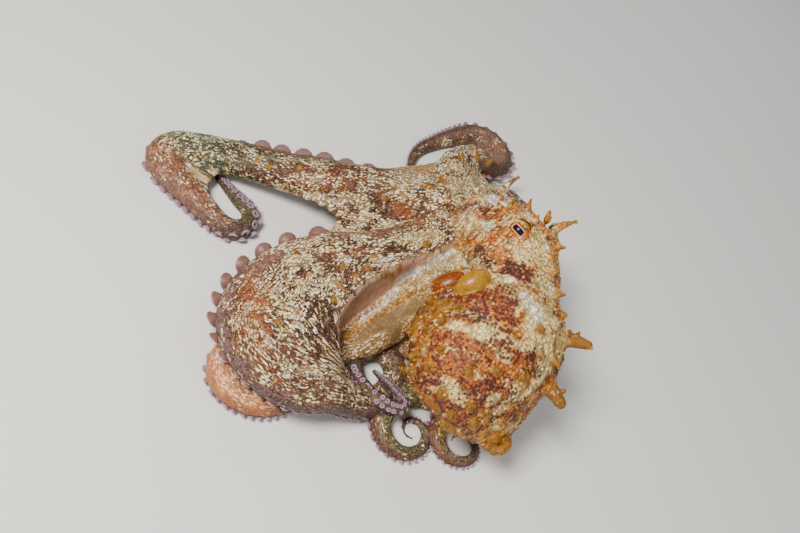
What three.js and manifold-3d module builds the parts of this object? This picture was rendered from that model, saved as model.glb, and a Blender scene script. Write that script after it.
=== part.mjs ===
// A common octopus (Octopus vulgaris) at rest on flat ground, life size.
// Millimetres, +Z up. The crown, where the eight arms meet, is laid out round
// x = 0, y = 0, and the finished group is shifted so that its origin is the
// middle of the body's footprint, on the ground.
//
// The body is divided as an anatomist names it: mantle, head, two eyes, siphon,
// the crown, eight arms in three lengths each and the web between them. Soft
// parts that press on each other are cut apart, with a fine gap left between.

import * as THREE from 'three';
import { mergeVertices } from 'three/addons/utils/BufferGeometryUtils.js';
import Module from 'manifold-3d';

const wasm = await Module();
wasm.setup();

// ---------------------------------------------------------------------------
// Driving dimensions: millimetres, and degrees anticlockwise seen from above
// ---------------------------------------------------------------------------

const GAP = 0.3; // clearance between two pieces that touch
const CUT_TOLERANCE = 0.08; // how far the slivers left by a cut may be smoothed away
const GROUND_SINK = 0.5; // how far the skin flattens where it lies on the ground
const ARM_ROOT_RADIUS = 16;
const ARM_SIDES = 8;
const FLAT_SIDE = Math.cos(Math.PI / ARM_SIDES); // a ring's middle to its flat underside, over its radius
const ARM_LONGEST_STEP = 18; // ring spacing at the root
const ARM_SHORTEST_STEP = 7; // ring spacing in the curls
const ARM_STEP_PER_RADIUS = 1.6;
const ARM_TAPER_END = 1.03; // the taper would reach a point just past the tip
const ARM_ROOT_BREADTH = 1.22; // across the arm, over its round radius
const ARM_ROOT_DEPTH = 0.9; // up and down, over its round radius
const ARM_ROUND_FROM = 0.5; // the share of its length after which an arm grows round
const ARM_ROUND_BY = 0.85;

// Each arm runs from `start` in the direction `heading` along arcs [length, turn].
// `taper` is the power of its narrowing, `lifts` are [distance along the arm,
// height of its underside above the ground], and `cuts` part it into lengths.
const ARMS = {
  arm_l1: {
    start: [-22, 22],
    heading: -151,
    taper: 0.5,
    arcs: [[161, -10], [36, 12], [28, 134], [54, 5], [42, 176], [34, -12]],
    lifts: [[0, 28], [40, 25], [90, 18], [130, 11], [180, 4], [220, 0]],
    cuts: [95, 180, 262],
  },
  arm_l2: {
    start: [-14, -12],
    heading: -102,
    taper: 0.6,
    arcs: [[76, -52], [111, 101], [66, 92], [31, -1], [42, 62], [52, 200], [30, 42], [16, 45],
      [10, 133], [26, 0]],
    lifts: [[0, 28], [50, 27], [80, 18], [107, 9], [128, 3], [150, 3], [172, 9], [200, 20],
      [215, 23], [232, 21], [262, 19], [280, 9], [295, 3], [310, 0], [366, 0], [385, 3],
      [400, 10], [412, 17], [445, 17], [460, 14]],
    cuts: [92, 200, 300],
  },
  arm_l3: {
    start: [5, -29],
    heading: -104,
    taper: 0.5,
    arcs: [[57, -2], [82, -40], [27, 19], [26, 105], [39, 80], [28, 148], [12, 70]],
    lifts: [[0, 24], [37, 17], [70, 8], [100, 0]],
    cuts: [75, 160],
  },
  arm_l4: {
    start: [16, -26],
    heading: -81,
    taper: 0.85,
    arcs: [[47, 67], [19, -4], [33, -120], [35, -20], [45, 84], [52, 180], [16, 91], [22, 200]],
    lifts: [[0, 18], [25, 10], [50, 1], [60, 0]],
    cuts: [66, 172],
  },
  arm_r4: {
    start: [24, -16],
    heading: -16,
    taper: 0.9,
    arcs: [[43, 2], [98, -141], [23, 48], [50, 184], [34, 213]],
    lifts: [[0, 16], [40, 4], [60, 0]],
    cuts: [80, 162],
  },
  arm_r3: {
    start: [31, 4],
    heading: 4,
    taper: 0.8,
    arcs: [[34, 12], [62, 160], [26, 110], [26, 200]],
    lifts: [[0, 16], [30, 5], [45, 0]],
    cuts: [42, 94],
  },
  arm_r2: {
    start: [18, 22],
    heading: 78,
    taper: 0.8,
    arcs: [[52, -12], [40, 82], [36, 122], [30, 170]],
    lifts: [[0, 40], [30, 34], [52, 18], [75, 4], [92, 0]],
    cuts: [52, 92],
  },
  arm_r1: {
    start: [-2, 24],
    heading: 126,
    taper: 0.88,
    arcs: [[46, -7], [68, -81], [70, 201], [48, 8], [54, 74], [27, 156]],
    lifts: [[0, 22], [60, 14], [90, 9], [125, 1], [140, 0]],
    cuts: [100, 200],
  },
};
const LENGTH_NAMES = { 3: ['base', 'mid', 'tip'], 4: ['base', 'mid', 'far', 'tip'] };

// The crest along which the broad web of arm l2 is folded up: a rail like an arm's
// middle line, with heights above the ground in place of an arm's lifts.
const CREST = {
  start: [2, -15],
  heading: -116,
  arcs: [[39, -4], [42, 10], [32, 22], [44, 78], [27, 28]],
  heights: [[0, 50], [54, 49], [100, 46], [130, 42], [155, 31], [170, 20], [184, 12]],
};

// Web sheets between two rails: how far along each rail a sheet reaches, how deeply
// its free edge is notched in the middle, and how far it sags there. A sheet starts
// at WEB_START on both rails unless `start` says otherwise.
const WEBS = {
  web_r1_l1: { rails: ['arm_r1', 'arm_l1'], reach: [88, 150], notch: 0.25, sag: 0 },
  web_l1_l2: { rails: ['arm_l1', 'arm_l2'], reach: [192, 140], notch: 0.52, sag: 3 },
  web_l2_l3: { rails: ['crest', 'arm_l3'], reach: [150, 130], notch: 0.1, sag: 14 },
  web_l3_l4: { rails: ['arm_l3', 'arm_l4'], reach: [125, 80], notch: 0.2, sag: 2 },
  web_l4_r4: { rails: ['arm_l4', 'arm_r4'], reach: [84, 80], notch: 0.2, sag: 2 },
  web_r3_r2: { rails: ['arm_r3', 'arm_r2'], reach: [60, 58], notch: 0.4, sag: 3 },
  web_r2_r1: { rails: ['arm_r2', 'arm_r1'], reach: [72, 95], notch: 0.15, sag: 0 },
  web_l1_fold: {
    rails: ['arm_l1', 'arm_l1'], start: [196, 203], reach: [150, 268], notch: 0.25, sag: 0,
  },
};
const VEIL = { rails: ['arm_l2', 'crest'], reach: [322, 178], bulge: 7 };
const WEB_THICKNESS = 7; // beside an arm
const WEB_EDGE_THICKNESS = 4; // at a free edge
const WEB_START = 4; // a sheet starts this far along its rails
const WEB_GRID = [6, 3]; // facets along the rails and from rail to rail
const VEIL_GRID = [14, 3];

// Crown: the ring of flesh that the arms grow out of, round the mouth.
const CROWN_CENTRE = [3, -1, 31];
const CROWN_RADII = [34, 34, 25];
const CROWN_SIDES = 14;

// Head: stations [x, y, z, half width, half height] from the crown to the neck.
const HEAD_STATIONS = [
  [7, 9, 36, 27, 21],
  [15, 4, 52, 31, 24],
  [23, -5, 65, 33, 27],
  [32, -19, 73, 32, 30],
  [41, -35, 74, 32, 30],
  [47, -52, 70, 34, 32],
  [50, -68, 67, 38, 34],
];
const HEAD_FACETS = { sides: 13, steps: 8, endCap: [8, 4] };
const EYE_LEFT = [26.5, -27.5, 101];
const EYE_RIGHT = [51.5, 4, 78.5];
const EYE_RADIUS = 8;
const EYE_SIDES = 9;
const EYE_AXIS_STATION = 3; // both eyes face away from this station's middle
const BROW_RADIUS = 14; // the bulge of skin and muscle round each eye
const BROW_SINK = 0.22; // the bulge's middle lies this far from eye to head middle

// Mantle: stations [x, y, z, half width, half height] from its opening to its tip.
const MANTLE_STATIONS = [
  [41, -70, 66, 45, 45],
  [47, -81, 63, 50, 48],
  [53, -96, 58, 53, 45],
  [63, -108, 51, 50, 39],
  [73, -117, 43, 40, 29],
  [81, -122, 36, 25, 19],
];
const MANTLE_FACETS = { sides: 18, steps: 7, endCap: [8, 12] };
const MANTLE_TIP_LOBE = { from: [83, -124, 40], to: [97, -134, 30], radius: 13 };

const BACK = new THREE.Vector3(0.5, -0.15, 0.85).normalize(); // the way the head's back faces

const SIPHON_STATIONS = [
  [36, -48, 68, 14, 12],
  [27, -57, 67, 17, 13],
  [17, -65, 65, 16, 11],
  [9, -70, 63, 13, 8],
];
const SIPHON_FACETS = { sides: 12, steps: 4, endCap: [4, 4] };

// Skin horns big enough to carry the outline: foot, point and foot radius.
const HORNS_ON_MANTLE = [
  { foot: [86, -72, 88], point: [101, -69, 93], radius: 6 },
  { foot: [96, -93, 64], point: [109, -96, 63], radius: 5 },
];
const HORNS_ON_HEAD = [
  { foot: [47, 7, 90], point: [58, 16, 100], radius: 5 },
  { foot: [3, 12, 91], point: [8, 20, 99], radius: 4 },
];
// Their outline: [share of the way from foot to point, share of the foot radius].
const HORN_PROFILE = [[-0.25, 1], [0.1, 0.85], [0.45, 0.5], [0.8, 0.38], [1, 0.16]];
const HORN_SIDES = 6;

const GROUND_BOX = [1000, 1000, 400]; // more than big enough to hold the whole animal

// ---------------------------------------------------------------------------
// Colours
// ---------------------------------------------------------------------------

const SKIN_BROWN = 0x9a6a48;
const SKIN_CREAM = 0xc9a878;
const SKIN_ORANGE = 0xb8722e;
const SIPHON_ORANGE = 0xd98a1e;
const EYE_DARK = 0x2a2438;

function skinMaterial(color) {
  return new THREE.MeshStandardMaterial({ color, roughness: 0.5, metalness: 0 });
}

// ---------------------------------------------------------------------------
// Solids: three.js geometry into manifold solids and back
// ---------------------------------------------------------------------------

function toSolid(geometry) {
  const bare = geometry.clone();
  bare.deleteAttribute('normal');
  bare.deleteAttribute('uv');
  const merged = mergeVertices(bare, 1e-4);
  const mesh = new wasm.Mesh({
    numProp: 3,
    vertProperties: Float32Array.from(merged.attributes.position.array),
    triVerts: Uint32Array.from(merged.index.array),
  });
  return new wasm.Manifold(mesh);
}

function toGeometry(solid) {
  const mesh = solid.getMesh();
  const geometry = new THREE.BufferGeometry();
  const positions = [];
  for (let i = 0; i < mesh.vertProperties.length; i += mesh.numProp) {
    positions.push(...mesh.vertProperties.slice(i, i + 3));
  }
  geometry.setAttribute('position', new THREE.Float32BufferAttribute(positions, 3));
  geometry.setIndex(Array.from(mesh.triVerts));
  geometry.computeVertexNormals();
  return geometry;
}

function largestPiece(solid) {
  const pieces = solid.decompose();
  return pieces.reduce((best, piece) => (piece.volume() > best.volume() ? piece : best));
}

// A closed body through rings of points, each end closed by a fan round its middle.
function loftRings(rings) {
  const sides = rings[0].length;
  const vertices = rings.flat();
  const middle = (ring) => ring
    .reduce((sum, point) => sum.add(point), new THREE.Vector3())
    .divideScalar(sides);
  const first = vertices.push(middle(rings[0])) - 1;
  const last = vertices.push(middle(rings[rings.length - 1])) - 1;
  const index = [];
  for (let r = 0; r < rings.length - 1; r += 1) {
    for (let k = 0; k < sides; k += 1) {
      const a = r * sides + k;
      const b = r * sides + ((k + 1) % sides);
      index.push(a, b, b + sides, a, b + sides, a + sides);
    }
  }
  const top = (rings.length - 1) * sides;
  for (let k = 0; k < sides; k += 1) {
    const next = (k + 1) % sides;
    index.push(first, next, k);
    index.push(last, top + k, top + next);
  }
  const geometry = new THREE.BufferGeometry().setFromPoints(vertices);
  geometry.setIndex(index);
  return toSolid(geometry);
}

// An elliptical ring round `centre`, in the plane of `side` and `up`.
function ellipseRing(centre, side, up, halfWidth, halfHeight, sides) {
  const ring = [];
  for (let k = 0; k < sides; k += 1) {
    const angle = (k + 0.5) * (2 * Math.PI / sides);
    ring.push(centre.clone()
      .addScaledVector(side, Math.cos(angle) * halfWidth)
      .addScaledVector(up, Math.sin(angle) * halfHeight));
  }
  return ring;
}

function ellipsoid(centre, radii, detail) {
  const geometry = new THREE.SphereGeometry(1, detail, Math.round(detail * 0.6));
  geometry.scale(...radii);
  geometry.translate(...centre);
  return toSolid(geometry);
}

// A body through stations [x, y, z, half width, half height], its ends rounded off
// by two smaller rings at `CAP_ANGLES` from the tip of each cap.
const CAP_ANGLES = [0.35, 0.85];

function bodyThroughStations(stations, { sides, steps, endCap }, grow) {
  const curve = new THREE.CatmullRomCurve3(
    stations.map(([x, y, z]) => new THREE.Vector3(x, y, z)), false, 'centripetal');
  const sizeCurve = new THREE.CatmullRomCurve3(
    stations.map(([, , , width, height]) => new THREE.Vector3(width, height, 0)));
  const rings = [];
  const ringAt = (t, scale, slide) => {
    const along = curve.getTangent(t);
    const side = new THREE.Vector3().crossVectors(BACK, along).normalize();
    const up = new THREE.Vector3().crossVectors(along, side).normalize();
    const size = sizeCurve.getPoint(t);
    const centre = curve.getPoint(t).addScaledVector(along, slide);
    return ellipseRing(centre, side, up,
      size.x * scale + grow, size.y * scale + grow, sides);
  };
  for (const angle of CAP_ANGLES) {
    rings.push(ringAt(0, Math.sin(angle), -(endCap[0] + grow) * Math.cos(angle)));
  }
  for (let i = 0; i <= steps; i += 1) rings.push(ringAt(i / steps, 1, 0));
  for (const angle of [...CAP_ANGLES].reverse()) {
    rings.push(ringAt(1, Math.sin(angle), (endCap[1] + grow) * Math.cos(angle)));
  }
  return loftRings(rings);
}

function horn({ foot, point, radius }, grow) {
  const start = new THREE.Vector3(...foot);
  const end = new THREE.Vector3(...point);
  const along = end.clone().sub(start);
  const length = along.length();
  along.normalize();
  const side = new THREE.Vector3(0, 0, 1).cross(along).normalize();
  const up = new THREE.Vector3().crossVectors(along, side).normalize();
  return loftRings(HORN_PROFILE.map(([t, r]) => ellipseRing(
    start.clone().addScaledVector(along, t * length),
    side, up, r * radius + grow, r * radius + grow, HORN_SIDES)));
}

// ---------------------------------------------------------------------------
// Rails: the arms' middle lines and the crest of the broad web
// ---------------------------------------------------------------------------

// Smooth interpolation through [distance, value] pairs, flat past the last one.
function valueAt(pairs, s) {
  const last = pairs[pairs.length - 1];
  if (s >= last[0]) return last[1];
  const i = pairs.findIndex(([distance]) => distance > s);
  const [s0, v0] = pairs[i - 1];
  const [s1, v1] = pairs[i];
  return v0 + (v1 - v0) * THREE.MathUtils.smootherstep(s, s0, s1) * 0.4
    + (v1 - v0) * ((s - s0) / (s1 - s0)) * 0.6;
}

// A rail gives its point, heading and radius at each distance along it.
function makeRail(spec) {
  const samples = [];
  let [x, y] = spec.start;
  let heading = THREE.MathUtils.degToRad(spec.heading);
  for (const [length, turn] of spec.arcs) {
    const turnStep = THREE.MathUtils.degToRad(turn) / length;
    for (let i = 0; i < length; i += 1) {
      samples.push([x, y, heading]);
      x += Math.cos(heading + turnStep / 2);
      y += Math.sin(heading + turnStep / 2);
      heading += turnStep;
    }
  }
  samples.push([x, y, heading]);
  const length = samples.length - 1;
  const radius = (s) => (spec.taper === undefined ? 0
    : ARM_ROOT_RADIUS * (1 - Math.max(s, 0) / (length * ARM_TAPER_END)) ** spec.taper);
  const roundness = (s) => THREE.MathUtils.smoothstep(
    s / length, ARM_ROUND_FROM, ARM_ROUND_BY);
  const breadth = (s) => THREE.MathUtils.lerp(ARM_ROOT_BREADTH, 1, roundness(s));
  const depth = (s) => THREE.MathUtils.lerp(ARM_ROOT_DEPTH, 1, roundness(s));
  const height = (s) => (spec.heights ? valueAt(spec.heights, s)
    : valueAt(spec.lifts, s) + radius(s) * depth(s) * FLAT_SIDE - GROUND_SINK);
  const plan = (s) => {
    const i = Math.min(Math.floor(Math.max(s, 0)), length - 1);
    const t = s - i;
    return [0, 1, 2].map((k) => samples[i][k] * (1 - t) + samples[i + 1][k] * t);
  };
  const point = (s) => {
    const [px, py] = plan(s);
    return new THREE.Vector3(px, py, height(Math.max(s, 0)));
  };
  return { length, radius, breadth, depth, point };
}

const rails = Object.fromEntries(
  Object.entries(ARMS).map(([name, spec]) => [name, makeRail(spec)]));
rails.crest = makeRail(CREST);

// ---------------------------------------------------------------------------
// Arms
// ---------------------------------------------------------------------------

// One length of an arm, as a tube whose rings stand square to the middle line.
function armLength(rail, from, to, grow) {
  const stations = [from - grow];
  let s = from;
  while (s < to) {
    const step = THREE.MathUtils.clamp(
      rail.radius(s) * ARM_STEP_PER_RADIUS, ARM_SHORTEST_STEP, ARM_LONGEST_STEP);
    s += step;
    if (s < to - step * 0.5) stations.push(s);
  }
  stations.push(to + grow);
  const rings = stations.map((distance) => {
    const inside = Math.min(distance, rail.length);
    const ahead = rail.point(Math.min(inside + 1, rail.length));
    const behind = rail.point(Math.max(inside - 1, 0));
    const along = ahead.sub(behind).normalize();
    const side = new THREE.Vector3(0, 0, 1).cross(along).normalize();
    const up = new THREE.Vector3().crossVectors(along, side);
    const centre = rail.point(inside).addScaledVector(along, distance - inside);
    const r = rail.radius(inside);
    return ellipseRing(centre, side, up,
      r * rail.breadth(inside) + grow, r * rail.depth(inside) + grow, ARM_SIDES);
  });
  return loftRings(rings);
}

function armPieces() {
  const pieces = [];
  for (const [arm, spec] of Object.entries(ARMS)) {
    const rail = rails[arm];
    const ends = [0, ...spec.cuts, rail.length];
    const names = LENGTH_NAMES[ends.length - 1];
    for (let i = 0; i < names.length; i += 1) {
      const from = ends[i] + (i > 0 ? GAP / 2 : 0);
      const to = ends[i + 1] - (i < names.length - 1 ? GAP / 2 : 0);
      pieces.push({
        name: `${arm}_${names[i]}`,
        color: SKIN_BROWN,
        build: (grow) => armLength(rail, from, to, grow),
      });
    }
  }
  return pieces;
}

// ---------------------------------------------------------------------------
// Web
// ---------------------------------------------------------------------------

// A closed sheet over a grid of points, `thickness(u, v)` thick and `grow` larger all round.
function sheet(pointAt, thickness, [rows, columns], grow) {
  const edge = (index, last) => (index === last) - (index === 0);
  const upper = [];
  const lower = [];
  const tiny = 0.01;
  for (let i = 0; i <= rows; i += 1) {
    for (let j = 0; j <= columns; j += 1) {
      const u = i / rows;
      const v = j / columns;
      const du = pointAt(Math.min(u + tiny, 1), v).sub(pointAt(Math.max(u - tiny, 0), v));
      const dv = pointAt(u, Math.min(v + tiny, 1)).sub(pointAt(u, Math.max(v - tiny, 0)));
      const normal = du.clone().cross(dv).normalize();
      const spot = pointAt(u, v)
        .addScaledVector(du.normalize(), edge(i, rows) * grow)
        .addScaledVector(dv.normalize(), edge(j, columns) * grow);
      const half = thickness(u, v) / 2 + grow;
      upper.push(spot.clone().addScaledVector(normal, half));
      lower.push(spot.clone().addScaledVector(normal, -half));
    }
  }
  const width = columns + 1;
  const count = upper.length;
  const index = [];
  const quad = (a, b, c, d) => index.push(a, b, c, a, c, d);
  for (let i = 0; i < rows; i += 1) {
    for (let j = 0; j < columns; j += 1) {
      const a = i * width + j;
      quad(a, a + width, a + width + 1, a + 1);
      quad(count + a, count + a + 1, count + a + width + 1, count + a + width);
    }
  }
  for (let i = 0; i < rows; i += 1) {
    const a = i * width;
    const b = a + columns;
    quad(a, count + a, count + a + width, a + width);
    quad(b, b + width, count + b + width, count + b);
  }
  for (let j = 0; j < columns; j += 1) {
    const b = rows * width + j;
    quad(j, j + 1, count + j + 1, count + j);
    quad(b, count + b, count + b + 1, b + 1);
  }
  const geometry = new THREE.BufferGeometry().setFromPoints([...upper, ...lower]);
  geometry.setIndex(index);
  return toSolid(geometry);
}

function hump(v) {
  return 4 * v * (1 - v);
}

function webSheet({ rails: [left, right], start = [WEB_START, WEB_START], reach, notch, sag }, grow) {
  const pointAt = (u, v) => {
    const share = u * (1 - notch * hump(v));
    const a = rails[left].point(THREE.MathUtils.lerp(start[0], reach[0], share));
    const b = rails[right].point(THREE.MathUtils.lerp(start[1], reach[1], share));
    return a.lerp(b, v).add(new THREE.Vector3(0, 0, -sag * hump(v) * u));
  };
  const thickness = (u) => THREE.MathUtils.lerp(WEB_THICKNESS, WEB_EDGE_THICKNESS, u);
  return sheet(pointAt, thickness, WEB_GRID, grow);
}

// The broad veil between arm l2 and the crest, arched a little upwards.
function veilSheet({ rails: [left, right], reach, bulge }, grow) {
  const pointAt = (u, v) => {
    const a = rails[left].point(WEB_START + (reach[0] - WEB_START) * u);
    const b = rails[right].point(WEB_START + (reach[1] - WEB_START) * u);
    return a.lerp(b, v).add(new THREE.Vector3(0, 0, bulge * hump(v) * Math.sin(Math.PI * u)));
  };
  const thickness = (u, v) => THREE.MathUtils.lerp(WEB_THICKNESS, WEB_EDGE_THICKNESS, v);
  return sheet(pointAt, thickness, VEIL_GRID, grow);
}

// ---------------------------------------------------------------------------
// Crown, head, eyes, mantle and siphon
// ---------------------------------------------------------------------------

const eyeLeft = new THREE.Vector3(...EYE_LEFT);
const eyeRight = new THREE.Vector3(...EYE_RIGHT);
const headMiddle = new THREE.Vector3(...HEAD_STATIONS[EYE_AXIS_STATION].slice(0, 3));

function eyeball(centre, grow) {
  const r = EYE_RADIUS + grow;
  return ellipsoid(centre.toArray(), [r, r, r], EYE_SIDES);
}

function headSolid(grow) {
  let solid = bodyThroughStations(HEAD_STATIONS, HEAD_FACETS, grow);
  for (const eye of [eyeLeft, eyeRight]) {
    const centre = eye.clone().lerp(headMiddle, BROW_SINK);
    const r = BROW_RADIUS + grow;
    solid = solid.add(ellipsoid(centre.toArray(), [r, r, r], EYE_SIDES));
  }
  return HORNS_ON_HEAD.reduce((sum, spec) => sum.add(horn(spec, grow)), solid);
}

function mantleSolid(grow) {
  let solid = bodyThroughStations(MANTLE_STATIONS, MANTLE_FACETS, grow);
  const { from, to, radius } = MANTLE_TIP_LOBE;
  solid = solid.add(horn({ foot: from, point: to, radius }, grow));
  return HORNS_ON_MANTLE.reduce((sum, spec) => sum.add(horn(spec, grow)), solid);
}

function siphonSolid(grow) {
  return bodyThroughStations(SIPHON_STATIONS, SIPHON_FACETS, grow);
}

const bodyPieces = [
  { name: 'eye_l', color: EYE_DARK, build: (grow) => eyeball(eyeLeft, grow) },
  { name: 'eye_r', color: EYE_DARK, build: (grow) => eyeball(eyeRight, grow) },
  { name: 'crown', color: SKIN_CREAM, build: (grow) => ellipsoid(
    CROWN_CENTRE, CROWN_RADII.map((r) => r + grow), CROWN_SIDES) },
  ...armPieces(),
  { name: 'siphon', color: SIPHON_ORANGE, build: siphonSolid },
  { name: 'head', color: SKIN_CREAM, build: headSolid },
  { name: 'mantle', color: SKIN_ORANGE, build: mantleSolid },
  { name: 'web_l2_veil', color: SKIN_BROWN, build: (grow) => veilSheet(VEIL, grow) },
  ...Object.entries(WEBS).map(([name, spec]) => ({
    name, color: SKIN_CREAM, build: (grow) => webSheet(spec, grow),
  })),
];

// ---------------------------------------------------------------------------
// Assembly: each piece gives way to the ones before it, and none is below ground
// ---------------------------------------------------------------------------

function boxesTouch(a, b) {
  return [0, 1, 2].every((k) => a.min[k] <= b.max[k] && b.min[k] <= a.max[k]);
}

const octopus = new THREE.Group();
const groundBox = toSolid(
  new THREE.BoxGeometry(...GROUND_BOX).translate(0, 0, GROUND_BOX[2] / 2));
const placed = [];
for (const { name, color, build } of bodyPieces) {
  let solid = build(0).intersect(groundBox);
  for (const earlier of placed) {
    if (boxesTouch(solid.boundingBox(), earlier.boundingBox())) {
      solid = solid.subtract(earlier);
    }
  }
  placed.push(build(GAP));
  const body = largestPiece(solid).simplify(CUT_TOLERANCE);
  const mesh = new THREE.Mesh(toGeometry(body), skinMaterial(color));
  mesh.name = name;
  octopus.add(mesh);
}

const footprint = new THREE.Box3().setFromObject(octopus);
const middle = footprint.getCenter(new THREE.Vector3());
octopus.position.set(-middle.x, -middle.y, -footprint.min.z);

export default octopus;
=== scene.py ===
# %% [markdown]
# # A common octopus, life size
#
# A resting octopus is one soft bag of muscle: a round mantle, a head with two
# raised eyes, a funnel called the siphon, and eight arms joined by web. The solids
# in the frame give each of these its place and size. This lesson grows one
# continuous skin over all of them, paints it, and adds the eyes, the suckers and
# the soft spikes (papillae) that make the animal look alive.

# %% Load the frame
import math

import bmesh
import bpy
import numpy as np
import openvdb
from mathutils import Matrix, Vector, kdtree
from mathutils.bvhtree import BVHTree


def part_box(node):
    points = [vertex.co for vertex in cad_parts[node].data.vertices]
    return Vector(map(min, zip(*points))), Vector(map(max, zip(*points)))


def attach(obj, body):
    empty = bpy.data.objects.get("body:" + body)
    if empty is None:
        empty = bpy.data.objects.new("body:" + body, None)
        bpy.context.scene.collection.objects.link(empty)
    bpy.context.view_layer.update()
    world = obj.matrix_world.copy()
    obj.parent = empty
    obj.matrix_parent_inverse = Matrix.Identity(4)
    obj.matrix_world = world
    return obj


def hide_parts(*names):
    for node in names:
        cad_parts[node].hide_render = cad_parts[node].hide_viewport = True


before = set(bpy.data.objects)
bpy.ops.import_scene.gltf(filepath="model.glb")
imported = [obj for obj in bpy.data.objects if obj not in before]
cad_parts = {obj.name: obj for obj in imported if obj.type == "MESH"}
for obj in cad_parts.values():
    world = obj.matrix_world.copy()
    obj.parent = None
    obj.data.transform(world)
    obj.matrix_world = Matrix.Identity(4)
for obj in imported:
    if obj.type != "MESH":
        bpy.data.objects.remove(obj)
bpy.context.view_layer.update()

# %% [markdown]
# ## One way to measure
#
# All lengths below are in millimetres from the crown, the spot where the arms
# meet, because that is how the animal is laid out. Blender wants metres from the
# frame's origin, so one small function turns the first into the second.

# %% From the crown's millimetres to the frame's metres
CROWN_PLACE = np.array([53.18, 14.87, 0.0])


def to_frame(points):
    """Crown millimetres to frame metres, for one point or many."""
    return (np.asarray(points, dtype=float) + CROWN_PLACE) / 1000


def unit(vectors):
    """Vectors brought to length one."""
    vectors = np.asarray(vectors, dtype=float)
    return vectors / (np.linalg.norm(vectors, axis=-1, keepdims=True) + 1e-9)


def smooth_step(value, low, high):
    """0 below low, 1 above high, and a smooth slope between them."""
    t = np.clip((np.asarray(value, dtype=float) - low) / (high - low), 0, 1)
    return t * t * (3 - 2 * t)


def link(thing):
    """Put a new object into the scene."""
    bpy.context.scene.collection.objects.link(thing)
    return thing


crown_box = np.array(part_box("crown")) * 1000 - CROWN_PLACE
print("the crown's solid, from the crown:", crown_box.round(1).tolist())

# %% [markdown]
# ## The camera
#
# The camera looks down at 48 degrees and is rolled by 35 degrees, the way a diver
# holds one over a slope. The three axes of the camera are worked out one by one
# so that the roll is exact.

# %% Camera
CAMERA_ELEVATION = math.radians(48)
CAMERA_ROLL = math.radians(35)
CAMERA_LENS = 35.0
CAMERA_SENSOR = 36.0
IMAGE_WIDTH, IMAGE_HEIGHT = 800, 533
PIXELS_PER_UNIT = IMAGE_WIDTH * CAMERA_LENS / CAMERA_SENSOR  # one unit across, one unit away
AIM = np.array([0.0, 0.0, 30.0])  # this point of the crown, in millimetres ...
AIM_PIXEL = (455, 245)  # ... is seen at this pixel ...
AIM_DISTANCE = 583.0  # ... from this far along the view


def camera_axes():
    """Right, up and forward directions of the camera."""
    forward = np.array([0, math.cos(CAMERA_ELEVATION), -math.sin(CAMERA_ELEVATION)])
    level_right = np.array([1.0, 0, 0])
    level_up = np.cross(level_right, forward)
    turn_cos, turn_sin = math.cos(CAMERA_ROLL), math.sin(CAMERA_ROLL)
    right = turn_cos * level_right + turn_sin * level_up
    up = -turn_sin * level_right + turn_cos * level_up
    return right, up, forward


def make_camera():
    """A still camera with its frame centred, as 800 x 533 pixels."""
    right, up, forward = camera_axes()
    across = (AIM_PIXEL[0] - IMAGE_WIDTH / 2) / PIXELS_PER_UNIT
    down = (AIM_PIXEL[1] - IMAGE_HEIGHT / 2) / PIXELS_PER_UNIT
    place = AIM - (forward + across * right - down * up) * AIM_DISTANCE
    data = bpy.data.cameras.new("camera")
    data.lens = CAMERA_LENS
    data.sensor_width = CAMERA_SENSOR
    camera = bpy.data.objects.new("camera", data)
    matrix = Matrix.Identity(4)
    for column, vector in enumerate((right, up, -forward, to_frame(place))):
        for row in range(3):
            matrix[row][column] = vector[row]
    camera.matrix_world = matrix
    bpy.context.scene.camera = link(camera)
    return camera


camera = make_camera()
print("camera at", [round(v, 3) for v in camera.matrix_world.translation])

# %% [markdown]
# ## Where the arms go
#
# An arm is a tapering rod of muscle that can bend anywhere, so its middle line is
# written as a chain of arcs: so many millimetres long, turning by so many degrees.
# "Lifts" say how high its underside is held, and "turned" how far its sucker side is
# rolled from facing straight down towards the arm's right-hand side.

# %% Arms and crest
ARM_ROOT_RADIUS = 16.0
ARM_SIDES = 8  # the frame's arms are eight-sided, and rest on a flat side
ARM_TAPER_END = 1.03
ARM_ROOT_BREADTH, ARM_ROOT_DEPTH = 1.22, 0.9
ARM_ROUND_FROM, ARM_ROUND_BY = 0.5, 0.85
GROUND_SINK = 0.5
ARM_TIP_RADIUS = 1.3

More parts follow.
